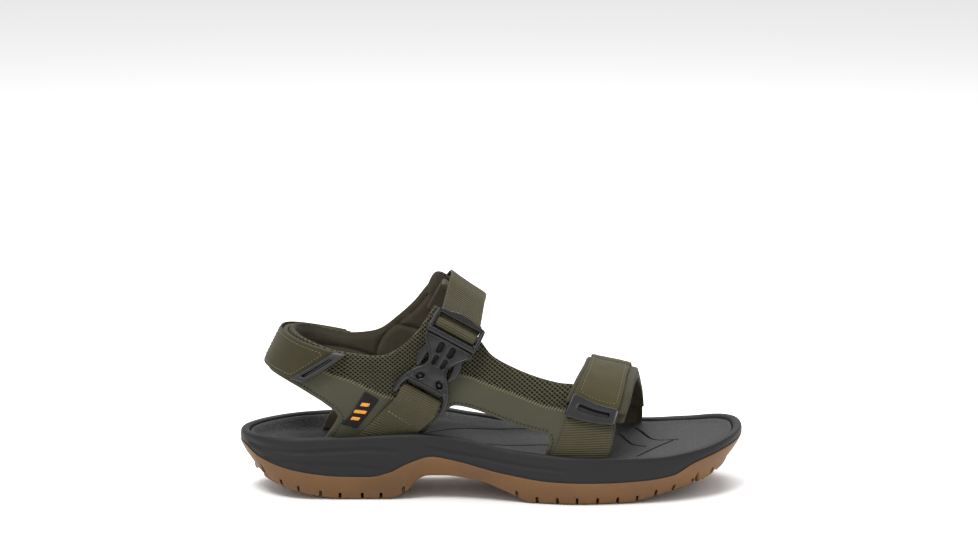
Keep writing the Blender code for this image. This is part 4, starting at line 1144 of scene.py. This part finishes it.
LEG_REAR = {
    -1: [(-94.5, 29), (-93.2, 36), (-90.2, 45.5), (-89.2, 51.5), (-92, 56.5)],
    1: [(-94, 30), (-92.5, 38), (-89, 46), (-88, 52), (-90.5, 57)],
}
LEG_FRONT = {
    -1: [(-28.6, 54.5), (-35.4, 46.5), (-41.9, 39.2), (-48, 31.8)],
    1: [(-31, 49), (-37, 43), (-42, 37.5), (-47, 32)],
}
ARCH_TOP = {
    -1: [(39, 42.6), (31.6, 41.3), (13.6, 46), (-5.2, 53.5), (-16.4, 57), (-24.2, 57.8), (-28.6, 54.5)],
    1: [(57, 39), (40, 40.5), (13.6, 44), (-5.2, 49), (-16.4, 52), (-25, 52.5), (-31, 49)],
}
MESH_BOTTOM = {
    -1: [(40.5, 46.5), (25, 51.5), (5, 60.5), (-15, 66.5), (-40, 61.5), (-70, 57.5), (-95, 66), (-120, 74),
         (BACK_SEAM, 76)],
    1: [(58, 43.5), (40, 45), (25, 47.5), (5, 52.5), (-15, 57), (-40, 56), (-65, 57.5), (-93, 66), (-118, 74),
        (BACK_SEAM, 76)],
}
OVERLAY_TOP = {
    -1: [(BACK_SEAM, 93), (-125, 91), (-108, 84), (-95.5, 77.5), (-86, 73.5), (-77, 69.5), (-62, 63.5),
         (-48, 61.5),
         (-37, 65.5), (-29.8, 69.5), (-27, 73.5), (-20.8, 75.5), (-12.9, 73.7), (-5, 70.3), (13.7, 63.4),
         (28, 57.7),
         (44, 54), (56, 53.5), (70, 53.5)],
    1: [(BACK_SEAM, 93), (-125, 91), (-108, 84), (-95.5, 77.5), (-86, 73.5), (-77, 69.5), (-62, 63.5),
        (-48, 62),
        (-37, 64), (-27, 66), (-16, 65.5), (-5, 62.5), (13.7, 55), (28, 50), (44, 47.5), (62, 48), (80, 50),
        (90, 51)],
}
OVERLAY_FRONT = {
    -1: [(70, 53.5), (70, 44.5), (68.8, 36.8), (66.5, 27), (65.2, 23.8)],
    1: [(90, 51), (92, 44), (91, 36.8), (88.5, 27), (87.5, 23.6)],
}
OVERLAY_TOE_LEG = {
    -1: [(29, 25.2), (30.4, 30.7), (32.6, 36.8), (31.6, 41.3)],
    1: [(55, 24.4), (57, 29), (58.5, 34), (57, 39)],
}
# Quilting lines of the padded lining, on its pattern, the same on both sides.
QUILTING = [
    [(-38, 113), (-45, 104), (-53, 97), (-60.5, 91), (-66, 84), (-69, 75), (-69, 62)],
    [(-58, 94.5), (-45, 91.5), (-33, 88), (-20, 80)],
    [(-128, 87), (-112, 84), (-92, 80), (-80, 77), (-69, 73.5), (-50, 70), (-30, 70), (-10, 72)],
]


def joined_outline(edges):
    """One closed anticlockwise outline from smooth edges, with straight ones where they don't meet."""
    closed = []
    for edge, following in zip(edges, edges[1:] + edges[:1]):
        closed.append(edge)
        if edge[-1] != following[0]:
            closed.append([edge[-1], following[0]])
    outline = np.concatenate([smooth_curve(edge, 1.2)[:-1] for edge in closed])
    outline[:, 0] = np.maximum(outline[:, 0], BACK_SEAM + 0.3)
    keep = np.linalg.norm(outline - np.roll(outline, 1, axis=0), axis=1) > 0.05
    return anticlockwise(outline[keep])


def edge_stitch(name, finish, edge, outline, place, inset, height, **options):
    """A running stitch along one edge of an outline, moved in from it."""
    line = smooth_curve(edge, 0.8)
    for side in (1, -1):
        moved = moved_in(line, side * inset, closed=False)
        if inside(moved[len(moved) // 2][None], outline)[0]:
            kept = clear_of(moved, outline, inset * 0.9)
            if len(kept) > 2:
                running_stitch(name, finish, kept, place, height, **options)
            return


def side_place(side):
    """Places of one side's flat pattern."""
    return lambda s, z: pattern_points(s, z, side)


OVERLAY = (3.2, 4.2)
MESH_FOOT, MESH_FACE = 1.0, 3.05
OVERLAY_SEAM = 1.9  # from the overlay's edge to its stitching


def make_quarter(side):
    """One side of the upper: padded lining, open mesh and the smooth overlay that carries its legs."""
    prefix = "lateral" if side < 0 else "medial"
    place = side_place(side)
    top = [COLLAR_TOP[side], INSTEP_END[side], VAMP_TOP[side]]
    legs = [LEG_FRONT[side], LEG_REAR[side], HEEL_BOTTOM[side]]
    arch = ARCH_TOP[side]
    overlay_arch = [arch[0] if side > 0 else arch[1], *arch[2:]]
    overlay_edges = [OVERLAY_FRONT[side], OVERLAY_TOE_LEG[side], overlay_arch, *legs]
    lining_outline = joined_outline([*top, arch, *legs])
    mesh_outline = joined_outline([*top, MESH_BOTTOM[side]])
    overlay_outline = joined_outline([OVERLAY_TOP[side], *overlay_edges])
    quilting = [smooth_curve(line, 1.0) for line in QUILTING]

    def lining_top(flat, reach):
        beyond = np.where(inside(flat, mesh_outline), 0, distance_to(flat, mesh_outline, closed=True))
        return 0.95 + 2.2 * smoothstep(0.2, 2.5, beyond) - edge_drop(reach, 0.9)

    def lining_bottom(flat, reach):
        swell = 1.7 * smoothstep(34, 44, flat[:, 1]) * (1 - dent(reach, 2.6))
        for line in quilting:
            swell *= 1 - 0.85 * dent(distance_to(flat, line), 1.2)
        return edge_drop(reach, 0.5) * 0.6 - swell

    def mesh_top(flat, reach):
        holes = diamonds(flat[:, 0], flat[:, 1]) * smoothstep(1.2, 2.0, reach)
        return MESH_FACE + 0.25 * smoothstep(1.0, 5.0, reach) - 0.55 * holes - edge_drop(reach, 1.3)

    def overlay_top(flat, reach):
        return OVERLAY[1] - edge_drop(reach, 0.45) - dent(reach - OVERLAY_SEAM, 0.45) * 0.14

    lining = laid_sheet(f"{prefix}_padded_lining", "lining", lining_outline, place, lining_top,
                        lining_bottom, 1.6,
                        insets=(0.25, 0.7, 1.4), lines=quilting, replaces=[f"{prefix}_lining"])
    laid_sheet(f"{prefix}_open_mesh", "mesh", mesh_outline, place, mesh_top, MESH_FOOT, 0.48,
               insets=(0.2, 0.5, 0.9, 1.4), replaces=[f"{prefix}_mesh"])
    laid_sheet(f"{prefix}_smooth_overlay", "synthetic", overlay_outline, place, overlay_top, OVERLAY[0], 1.5,
               insets=(0.15, 0.4, 1.2, OVERLAY_SEAM, 2.6), replaces=[f"{prefix}_overlay"])
    for edge in overlay_edges:
        edge_stitch(f"{prefix}_overlay_stitching", "dark_thread", edge, overlay_outline, place, OVERLAY_SEAM,
                    OVERLAY[1] - 0.02, pitch=2.2, length=1.3, radius=0.42)
    border = smooth_curve(OVERLAY_TOP[side], 1.0)
    border = border[inside(border, mesh_outline)]
    border_stitch(f"{prefix}_border_stitching", "light_thread", border[::-1], place, (4.25, 3.4))
    for line in quilting:
        kept = clear_of(line, lining_outline, 1.5)
        running_stitch(f"{prefix}_quilting", "dark_thread", kept, place, -0.25, 2.4, 1.7, slot="lining")


# ---- straps ----------------------------------------------------------------------------------------

HEEL_BAND = (-11.3, 11.2)
HEEL_FLAP_END = -36.0
HEEL_SKEW = -0.7
FOREFOOT_BAND = (-17.5, 16.0)
FOREFOOT_FLAP = (-15.5, 11.0)
FOREFOOT_FLAP_END = -44.5
SEAM_GAP = 0.6
BAND_LAYER = (3.3, 6.0)


def skewed(loop, start, end, skew):
    """Places on a loop with each end of a strap slanted by its own skew."""

    def place(q, arc):
        share = (arc - start) / (end - start)
        return loop.points(q, arc + (skew[0] * (1 - share) + skew[1] * share) * q)

    return place


def make_flap(name, finish, loop, end, band, skew, fixed, fixed_end):
    """A hook-and-loop flap with box stitching, and the fixed strap of the same cloth beyond its root."""

    def flap_top(flat, reach):
        fold = 0.22 * smoothstep(0.6, 2.6, reach) - 0.2 * dent(reach - 2.2, 0.5)
        return FLAP[1] - 0.15 + fold - edge_drop(reach, 0.6) + 0.25 * smoothstep(2.6, 9, reach)

    def flap_bottom(flat, reach):
        return FLAP[0] + edge_drop(reach, 0.5) * 0.8

    # Each half's name, body, ends, skew at its first end, corner radius and stitching's margins.
    for piece, body, ends, slant, radius, margins in (
        (name, name, (end, -SEAM_GAP), skew, 1.6, (3.0, 2.5)),
        (fixed, "sandal", (SEAM_GAP, fixed_end), 0, 1.2, (2.5, 2.4)),
    ):
        place = skewed(loop, *ends, (slant, 0))
        outline = even_line(rounded_box(*band, *ends, radius), 1.0, closed=True)
        laid_sheet(piece + "_cloth", finish, outline, place, flap_top, flap_bottom, 1.3,
                   insets=(0.2, 0.6, 1.4, 2.2, 3.0), body=body, replaces=[piece])
        box = box_line(band[0] + 2.2, band[1] - 2.2, ends[0] + margins[0], ends[1] - margins[1])
        running_stitch(piece + "_stitching", "thread", box, place, FLAP[1] - 0.05, 2.2, 1.5, body=body)


def make_tab(name, body, loop, start, end, band, skew):
    """A moulded pull tab: raised rounded rim and a slot through its middle."""
    width, depth = band[1] - band[0], end - start
    outline = even_line(rounded_box(*band, start, end, 1.5), 0.5, closed=True)
    gap_line = rounded_box(band[0] + width * 0.17, band[1] - width * 0.17, start + depth * 0.40,
                           end - depth * 0.36, 0.7)
    gap_line = even_line(gap_line, 0.5, closed=True)
    rows = [moved_in(gap_line, shift) for shift in (-1.0, -0.5, -0.15, 0.15, 0.45)]

    def tab_top(flat, reach):
        gap = distance_to(flat, gap_line, closed=True)
        rim = 0.35 * smoothstep(1.4, 0.5, reach) + 0.3 * smoothstep(1.1, 0.4, gap)
        height = FLAP[1] + 0.95 + rim - edge_drop(reach, 0.9)
        sunk = np.where(inside(flat, gap_line), smoothstep(0.0, 0.3, gap), 0)
        return height * (1 - sunk) + (FLAP[0] + 0.35) * sunk

    laid_sheet(name + "_moulding", "tab", outline, skewed(loop, start, end, skew), tab_top,
               lambda flat, reach: FLAP[0] + edge_drop(reach, 0.6) * 0.7, 0.6, insets=(0.12, 0.35, 0.7, 1.1),
               lines=rows, body=body, replaces=[name])


def make_strap(prefix, loop, loop_band, arcs, slant, flap_band, end, skew, fixed_end, hook_band, tab_band,
               tab_skew, reach):
    """A hook-and-loop strap: padded band, flap, fixed strap, hook tape and pull tab."""
    flap = prefix + "_flap"
    form_webbing(prefix + "_loop_band", "band", loop, *arcs, loop_band, BAND_LAYER, skew=(slant, 0),
                 replaces=[prefix + "_loop_strap"])
    make_flap(flap, flap, loop, end, flap_band, skew, prefix + "_strap_medial", fixed_end)
    form_webbing(prefix + "_hook_tape", "hook", loop, end + 1.5, -12, hook_band, HOOK, skew=(skew, 0),
                 body=flap,
                 replaces=[prefix + "_hook_patch"])
    make_tab(prefix + "_pull_tab", flap, loop, end - reach, end + 0.8, tab_band, tab_skew)


def make_heel_strap():
    make_strap("heel", HEEL_LOOP, HEEL_BAND, (-42, 52), HEEL_SKEW, HEEL_BAND, HEEL_FLAP_END, HEEL_SKEW, 50,
               (-9.8, 9.7), HEEL_BAND, (HEEL_SKEW, HEEL_SKEW), 6.6)


ANCHOR = [
    [(41.5, 50.0), (67.5, 48.0)],
    [(67.5, 48.0), (68.3, 40), (66.5, 31), (65.0, 24.0)],
    [(65.0, 24.0), (33.5, 25.0)],
    [(33.5, 25.0), (36, 33), (39, 41), (41.5, 50.0)],
]


def make_forefoot_strap():
    pad = form_webbing("forefoot_padding", "lining", FOREFOOT_LOOP, -50, 50, (-10.0, 17.0), (0.0, 3.0),
                       replaces=["forefoot_pad"])

    def anchor_top(flat, reach):
        rib = np.cos(2 * math.pi * flat[:, 1] / RIB_PITCH) * RIB_HEIGHT / 2 * smoothstep(0.5, 1.6, reach)
        return WEBBING[1] + rib - edge_drop(reach, 0.5)

    laid_sheet("forefoot_anchor_webbing", "webbing", joined_outline(ANCHOR), side_place(-1), anchor_top,
               WEBBING[0],
               0.4, insets=(0.15, 0.4, 0.9), replaces=["forefoot_lateral_anchor"])
    make_strap("forefoot", FOREFOOT_LOOP, FOREFOOT_BAND, (-46, 70), 0, FOREFOOT_FLAP, FOREFOOT_FLAP_END,
               -0.1, 44,
               (-11.0, 9.0), (-16.0, 11.5), (0, -0.1), 8.6)


# ---- side-release buckle ---------------------------------------------------------------------------

BUCKLE_SEAM = (2.5, -44.5, 8.2)
BUCKLE_FOOT = (0.2, -84.0, 9.2)
LADDER_BEND = math.radians(14.0)


def buckle_axes():
    """The buckle's origin and its directions: a up along the strap, b towards the toe, c outwards."""
    ends = []
    for q, arc, stand_off in (BUCKLE_SEAM, BUCKLE_FOOT):
        point = INSTEP_LOOP.points(q, arc)
        ends.append(point + stand_off * form_normals(point))
    seam, foot = ends
    a = unit(seam - foot)
    outward = form_normals(INSTEP_LOOP.points(0, (BUCKLE_SEAM[1] + BUCKLE_FOOT[1]) / 2))
    b = np.cross(outward, a)
    b /= np.linalg.norm(b) * (1 if b[0] > 0 else -1)
    c = np.cross(a, b)
    return seam, a, b, c if c[1] < 0 else -c


def bent_axes(axes):
    """The ladder's frame: the buckle's, turned about b towards the foot."""
    origin, a, b, c = axes
    cos, sin = math.cos(LADDER_BEND), math.sin(LADDER_BEND)
    return origin, a * cos - c * sin, b, c * cos + a * sin


def placed(axes, points):
    origin, a, b, c = axes
    points = np.asarray(points, float)
    return origin + points[..., :1] * a + points[..., 1:2] * b + points[..., 2:] * c


def plate(name, axes, outlines, low, high, bevel, body="sandal", finish="plastic", replaces=()):
    """A plate with rounded edges between two c. The first outline is its edge, and the rest are its holes."""
    outlines = [anticlockwise(np.asarray(line, float)) for line in outlines]
    sheet = bmesh.new()
    for outline in outlines:
        corners = [sheet.verts.new((a, b, 0)) for a, b in outline]
        for k, corner in enumerate(corners):
            sheet.edges.new((corner, corners[(k + 1) % len(corners)]))
    sheet.verts.index_update()
    bmesh.ops.triangle_fill(sheet, edges=sheet.edges, use_beauty=True)
    caps = [[v.index for v in face.verts] for face in sheet.faces]
    sheet.free()
    turns = np.linspace(0, math.pi / 2, 4)
    levels = [(bevel * (1 - math.sin(t)), low + bevel * (1 - math.cos(t))) for t in turns]
    levels += [(bevel * (1 - math.sin(t)), high - bevel * (1 - math.cos(t))) for t in turns[::-1]]
    layers = []
    for inset, height in levels:
        flat = np.concatenate([moved_in(line, -inset if k else inset) for k, line in enumerate(outlines)])
        layers.append(with_height(flat, np.full(len(flat), height)))
    count, begin = len(layers[0]), 0
    faces = caps + [[i + count * (len(levels) - 1) for i in cap] for cap in caps]
    for line in outlines:
        faces += wall_faces(len(line), len(levels), begin, count).tolist()
        begin += len(line)
    points = placed(axes, np.concatenate(layers))
    return mesh_piece(name, finish, points, faces, body=body, replaces=replaces, sharp=45)


def mirrored(half):
    """A closed outline from the half of it with b above 0, listed from its top to its foot."""
    return half + [(a, -b) for a, b in reversed(half)]


def slot(a, b, length, width, ends=8):
    """A round-ended slot along a, centred on (a, b)."""
    reach, radius = (length - width) / 2, width / 2
    turns = [math.pi * k / ends for k in range(ends + 1)]
    top = [(a + reach + radius * math.sin(t), b + radius * math.cos(t)) for t in turns]
    foot = [(a - reach - radius * math.sin(t), b - radius * math.cos(t)) for t in turns]
    return np.array(top + foot)


def circle(centre, radius, count):
    """Points round a circle."""
    turns = np.linspace(0, 2 * math.pi, count + 1)[:-1]
    return np.asarray(centre) + radius * np.stack([np.cos(turns), np.sin(turns)], axis=1)


SOCKET_HALF = [(-0.1, 14.8), (-2.2, 15.6), (-5.5, 13.2), (-9.5, 9.4), (-14.5, 6.3), (-18.5, 7.2),
               (-22.0, 10.4)]
SOCKET_HALF += [(-25.5, 13.0), (-28.6, 13.0), (-30.4, 10.8), (-29.8, 5.0)]
HORN = [(-24.0, 10.5), (-25.5, 13.4), (-29.5, 15.2), (-34.5, 16.8), (-39.5, 17.0), (-41.2, 15.2),
        (-40.4, 13.6)]
HORN += [(-37.0, 13.6), (-34.0, 13.1), (-31.0, 11.8), (-29.6, 10.0), (-27.0, 9.6)]
LOBE = [(-22.9, 4.2), (-23.6, 8.0), (-26.6, 9.0), (-28.0, 6.4), (-25.4, 3.6)]
BAR_CENTRE = (-37.2, 1.0)
BAR_RADIUS = 1.6
ENDS = (("rear", -1), ("front", 1))


def make_socket(axes):
    """The half with the X-shaped face: rims round the face and its holes, shell behind, horns and bar."""
    edge = rounded_outline(mirrored(SOCKET_HALF), 0.42)
    holes = [slot(-5.4, b, 7.2, 3.6) for b in (-3.6, 3.6)] + [slot(-13.2, b, 6.4, 2.9) for b in (-2.9, 2.9)]
    lobes = [rounded_outline([(a, side * b) for a, b in LOBE], 0.3) for side in (-1, 1)]
    plate("buckle_face", axes, [edge, *holes, *lobes], 3.3, 4.6, 0.35, replaces=["buckle_socket"])
    plate("buckle_face_rim", axes, [edge, moved_in(anticlockwise(edge), 1.25)], 4.2, 5.35, 0.42)
    for k, lobe in enumerate(lobes):
        ring = anticlockwise(lobe)
        plate(f"buckle_lobe_rim_{k + 1}", axes, [moved_in(ring, -0.85), ring], 4.2, 5.0, 0.3)
        plate(f"buckle_lobe_peg_{k + 1}", axes, [circle(lobe.mean(axis=0), 1.05, 16)], 1.0, 4.1, 0.3)
    plate("buckle_face_ridge", axes, [rounded_box(-17.0, -2.0, -1.1, 1.1, 0.9)], 4.3, 5.0, 0.3)
    back_half = [(a if a > -29 else a - 2.3, min(b, 14.9)) for a, b in SOCKET_HALF]
    # The shell behind takes the darker plastic, as painted shade behind the face's holes.
    plate("buckle_back", axes, [rounded_outline(mirrored(back_half), 0.4)], -1.6, -0.4, 0.35, finish="shade")
    for name, side in ENDS:
        wall = [(-0.4, side * 13.2), (-0.4, side * 15.2), (-3.2, side * 15.2), (-6.2, side * 13.2)]
        plate(f"buckle_wall_{name}", axes, [rounded_outline(wall, 0.2)], -1.2, 4.4, 0.3)
        horn = rounded_outline([(a, side * b) for a, b in HORN], 0.45)
        plate(f"buckle_horn_{name}", axes, [horn], -1.4, 4.9, 1.3)
    plate("buckle_block", axes, [mirrored([(-27.6, 11.4), (-29.6, 9.4)])], -1.0, 4.2, 0.3)
    ring = circle(BAR_CENTRE, BAR_RADIUS, 24)
    points = np.array([(a, b, c) for b in (-14.6, 14.6) for a, c in ring])
    ends = [list(range(24)), list(range(24, 48))]
    mesh_piece("buckle_bar", "plastic", placed(axes, points), wall_faces(24, 2).tolist() + ends)


def make_plug(axes):
    """The half that slides into the socket: shoulder, guide tongue, and the ladder for the instep webbing."""
    body = "buckle_plug"
    shoulder = rounded_outline(mirrored([(3.2, 15.2), (0.3, 15.8)]), 0.12)
    plate("plug_shoulder", axes, [shoulder], -1.2, 5.0, 0.6, body, replaces=["buckle_plug"])
    plate("plug_tongue", axes, [mirrored([(1.5, 1.9), (-18.0, 1.9), (-19.5, 1.0)])], 0.3, 2.7, 0.3, body)
    bent = bent_axes(axes)
    half = [(17.2, 2.6), (16.6, 5.6), (15.7, 7.6), (15.5, 12.6), (14.2, 15.2), (11.5, 15.9), (1.4, 15.6)]
    windows = [[(12.6, 13.0), (7.9, 13.1)], [(5.6, 13.1), (3.4, 13.1)]]
    windows = [rounded_outline(mirrored(line), 0.06) for line in windows]
    plate("plug_ladder", bent, [rounded_outline(mirrored(half), 0.35), *windows], -0.9, 2.5, 0.7, body)
    for name, side in ENDS:
        rail = [(15.0, side * 13.6), (13.8, side * 15.6), (1.0, side * 16.0), (1.0, side * 13.6)]
        plate(f"plug_rail_{name}", bent, [rounded_outline(rail, 0.15)], -1.4, 4.6, 0.9, body)


ARM_HALF = [(-0.1, 4.6), (-0.1, 8.2), (-4.0, 9.4), (-7.5, 12.0), (-12.0, 13.5), (-17.0, 13.2), (-20.5, 11.2)]
ARM_HALF += [(-22.0, 8.8), (-16.0, 9.4), (-8.5, 8.0), (-4.5, 6.0)]


def make_arms(axes):
    """The plug's two release arms, with their ears outside the waist of the face."""
    for name, side in ENDS:
        arm = rounded_outline([(a, side * b) for a, b in ARM_HALF], 0.42)
        plate(f"release_arm_{name}_moulding", axes, [arm], -0.2, 3.1, 0.5, f"release_arm_{name}",
              replaces=[f"release_arm_{name}"])


LADDER_PATH = [(13.5, -1.8), (11.2, -1.2), (9.7, 0.6), (8.8, 2.7), (6.8, 3.5), (4.8, 2.9), (4.3, 0.9),
               (4.3, -1.2)]
LADDER_PATH += [(5.2, -2.9), (7.5, -3.5), (12.0, -3.6), (17.0, -3.7)]
LADDER_HALF = 12.7


def make_instep_strap(axes):
    """Webbing threaded through the ladder, over the instep to the fixed webbing on the medial side."""
    bent = bent_axes(axes)
    columns = edge_spaced(LADDER_HALF)
    rows = []
    for arc in np.arange(22, -15, -6.0):
        points = INSTEP_LOOP.points(columns, arc)
        rows.append(points + 5.2 * form_normals(points))
    for a, c in LADDER_PATH:
        rows.append(placed(bent, [(a, b, c) for b in columns]))
    free_webbing("instep_strap_webbing", rows, LADDER_HALF, body="buckle_plug", replaces=["instep_webbing"])
    pad = form_webbing("instep_padding", "lining", INSTEP_LOOP, -10, 30, (-13.0, 13.0), (-3.8, -0.9),
                       replaces=["instep_pad"])
    form_webbing("instep_medial_strap", "webbing", INSTEP_LOOP, 23.5, 101.5, (-LADDER_HALF, LADDER_HALF),
                 WEBBING,
                 skew=(0, -0.5), ribs=True, replaces=["instep_medial_webbing"])


LOWER_DOWN = (-0.637, -0.771)
FOLD_PATH = [(-48.5, -2.6), (-43.0, -2.5), (-38.0, -2.0), (-34.5, -0.3), (-34.5, 2.3), (-37.2, 3.7),
             (-40.5, 3.1)]
FOLD_PATH += [(-45.0, 1.5)]
LOWER_HALF = 12.5


def make_lower_strap(axes):
    """Webbing round the socket's bar, stitched back on itself and run down into the sole."""
    columns = edge_spaced(LOWER_HALF)
    rows = [placed(axes, [(a, b, c) for b in columns]) for a, c in FOLD_PATH]
    start = placed(axes, [(-40.0, 0.0, 0.0)])[0]

    def on_wall(down, across):
        x = start[0] + down * LOWER_DOWN[0] - across * LOWER_DOWN[1]
        return form_points(x, start[2] + down * LOWER_DOWN[1] + across * LOWER_DOWN[0], -1)

    for down, stand_off, slant in ((14, 6.9, 0), (20, 5.5, -0.1), (27, 5.0, -0.35), (35.5, 4.95, -0.65)):
        points = on_wall(down + slant * columns, columns)
        rows.append(points + stand_off * form_normals(points))
    middles = np.arange(9) * 2.4 - 9.6
    for shift in (-1.2, 1.2):
        starts, ends = (on_wall(11.5 + shift - 0.1 * at, at) for at in (middles - 0.75, middles + 0.75))
        up = form_normals(starts)
        sewing.add("lower_strap_seam", "light_thread", starts + up * 7.8, ends + form_normals(ends) * 7.8,
                   up, 0.3,
                   slot="webbing")
    free_webbing("lower_strap_webbing", rows, LOWER_HALF, replaces=["lower_webbing"])


LABEL = [(-75.8, 66.4), (-67.4, 62.0), (-80.6, 43.4), (-88.0, 46.6)]


def make_label():
    """A woven tab sewn under the lower strap, with three plain embroidered bars."""
    corners = np.array(LABEL, float)
    outline = anticlockwise(even_line(rounded_outline(corners, 0.05), 0.8, closed=True))
    laid_sheet("side_label_weave", "label", outline, side_place(-1), lambda flat,
               reach: 5.25 - edge_drop(reach, 0.35),
               4.4, 0.8, insets=(0.12, 0.35, 0.8), replaces=["side_label"])
    along = unit((corners[0] + corners[1]) / 2 - (corners[2] + corners[3]) / 2)
    across = np.array([along[1], -along[0]])
    for k, (centre, half) in enumerate(((-5.2, 2.2), (0.0, 3.2), (5.2, 2.2))):
        bar = [corners.mean(axis=0) + along * (centre + u + 0.5 * v) + across * (v - 0.6)
               for u, v in ((-1.15, -half), (-1.15, half), (1.15, half), (1.15, -half))]
        bar = anticlockwise(even_line(rounded_outline(bar, 0.12), 0.4, closed=True))
        laid_sheet(f"label_bar_{k + 1}", "orange", bar, side_place(-1), lambda flat,
                   reach: 5.7 - edge_drop(reach, 0.4),
                   5.1, 0.4, insets=(0.12, 0.3))


# ---- stage, lights and camera ----------------------------------------------------------------------

CAMERA_DISTANCE = 2.0
VIEW_WIDTH = 0.5856  # metres across the frame at the object
CAMERA_TURN, CAMERA_RISE = -2.0, 11.0
AIM_RIGHT, AIM_UP = -0.0021, 0.12575
FLOOR_REACH = 6.0


def make_stage():
    floor = bpy.data.meshes.new("floor")
    corners = [(FLOOR_REACH * x, FLOOR_REACH * y, 0) for x, y in ((-1, -1), (1, -1), (1, 1), (-1, 1))]
    floor.from_pydata(corners, [], [(0, 1, 2, 3)])
    stage = added("floor", floor)
    plain = Finish("pale_floor", roughness=0.9, specular=0.0)
    plain.paint((0.93, 0.93, 0.93, 1.0))
    floor.materials.append(plain.made)
    world = bpy.data.worlds.new("studio")
    bpy.context.scene.world = world
    world.use_nodes = True
    backdrop = world.node_tree.nodes["Background"]
    backdrop.inputs[0].default_value = (1, 1, 1, 1)
    backdrop.inputs[1].default_value = 0.8


def area_light(name, place, target, size, power):
    lamp = bpy.data.lights.new(name, "AREA")
    lamp.shape = "RECTANGLE"
    lamp.size, lamp.size_y = size
    lamp.energy = power
    light = added(name, lamp)
    light.location = place
    light.rotation_euler = (Vector(target) - Vector(place)).to_track_quat("-Z", "Y").to_euler()


def make_lights():
    area_light("key", (-0.5, -0.7, 1.5), (0, 0, 0.05), (0.7, 0.5), 22)
    area_light("top", (0.3, 0.6, 1.4), (0, 0, 0.05), (1.0, 0.5), 16)


def make_camera():
    turn, rise = math.radians(CAMERA_TURN), math.radians(CAMERA_RISE)
    back = Vector((math.sin(turn) * math.cos(rise), -math.cos(turn) * math.cos(rise), math.sin(rise)))
    right = Vector((math.cos(turn), math.sin(turn), 0))
    up = back.cross(right)
    lens = bpy.data.cameras.new("camera")
    lens.sensor_width = 36.0
    lens.lens = lens.sensor_width * CAMERA_DISTANCE / VIEW_WIDTH
    lens.clip_start, lens.clip_end = 0.05, 50.0
    camera = added("camera", lens)
    pose = Matrix((right, up, back)).transposed().to_4x4()
    pose.translation = back * CAMERA_DISTANCE + right * AIM_RIGHT + up * AIM_UP
    camera.matrix_world = pose
    bpy.context.scene.camera = camera


bpy.context.scene.view_settings.view_transform = "Standard"
make_outsole()
make_midsole()
make_footbed()
for quarter_side in (-1, 1):
    make_quarter(quarter_side)
make_heel_strap()
make_forefoot_strap()
buckle = buckle_axes()
make_socket(buckle)
make_plug(buckle)
make_arms(buckle)
make_instep_strap(buckle)
make_lower_strap(buckle)
make_label()
sewing.make()
for hidden in ("heel_cushion_pad", "shank"):
    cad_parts[hidden].data.materials.clear()
    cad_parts[hidden].data.materials.append(FINISHES["nylon"][1])
make_stage()
make_lights()
make_camera()
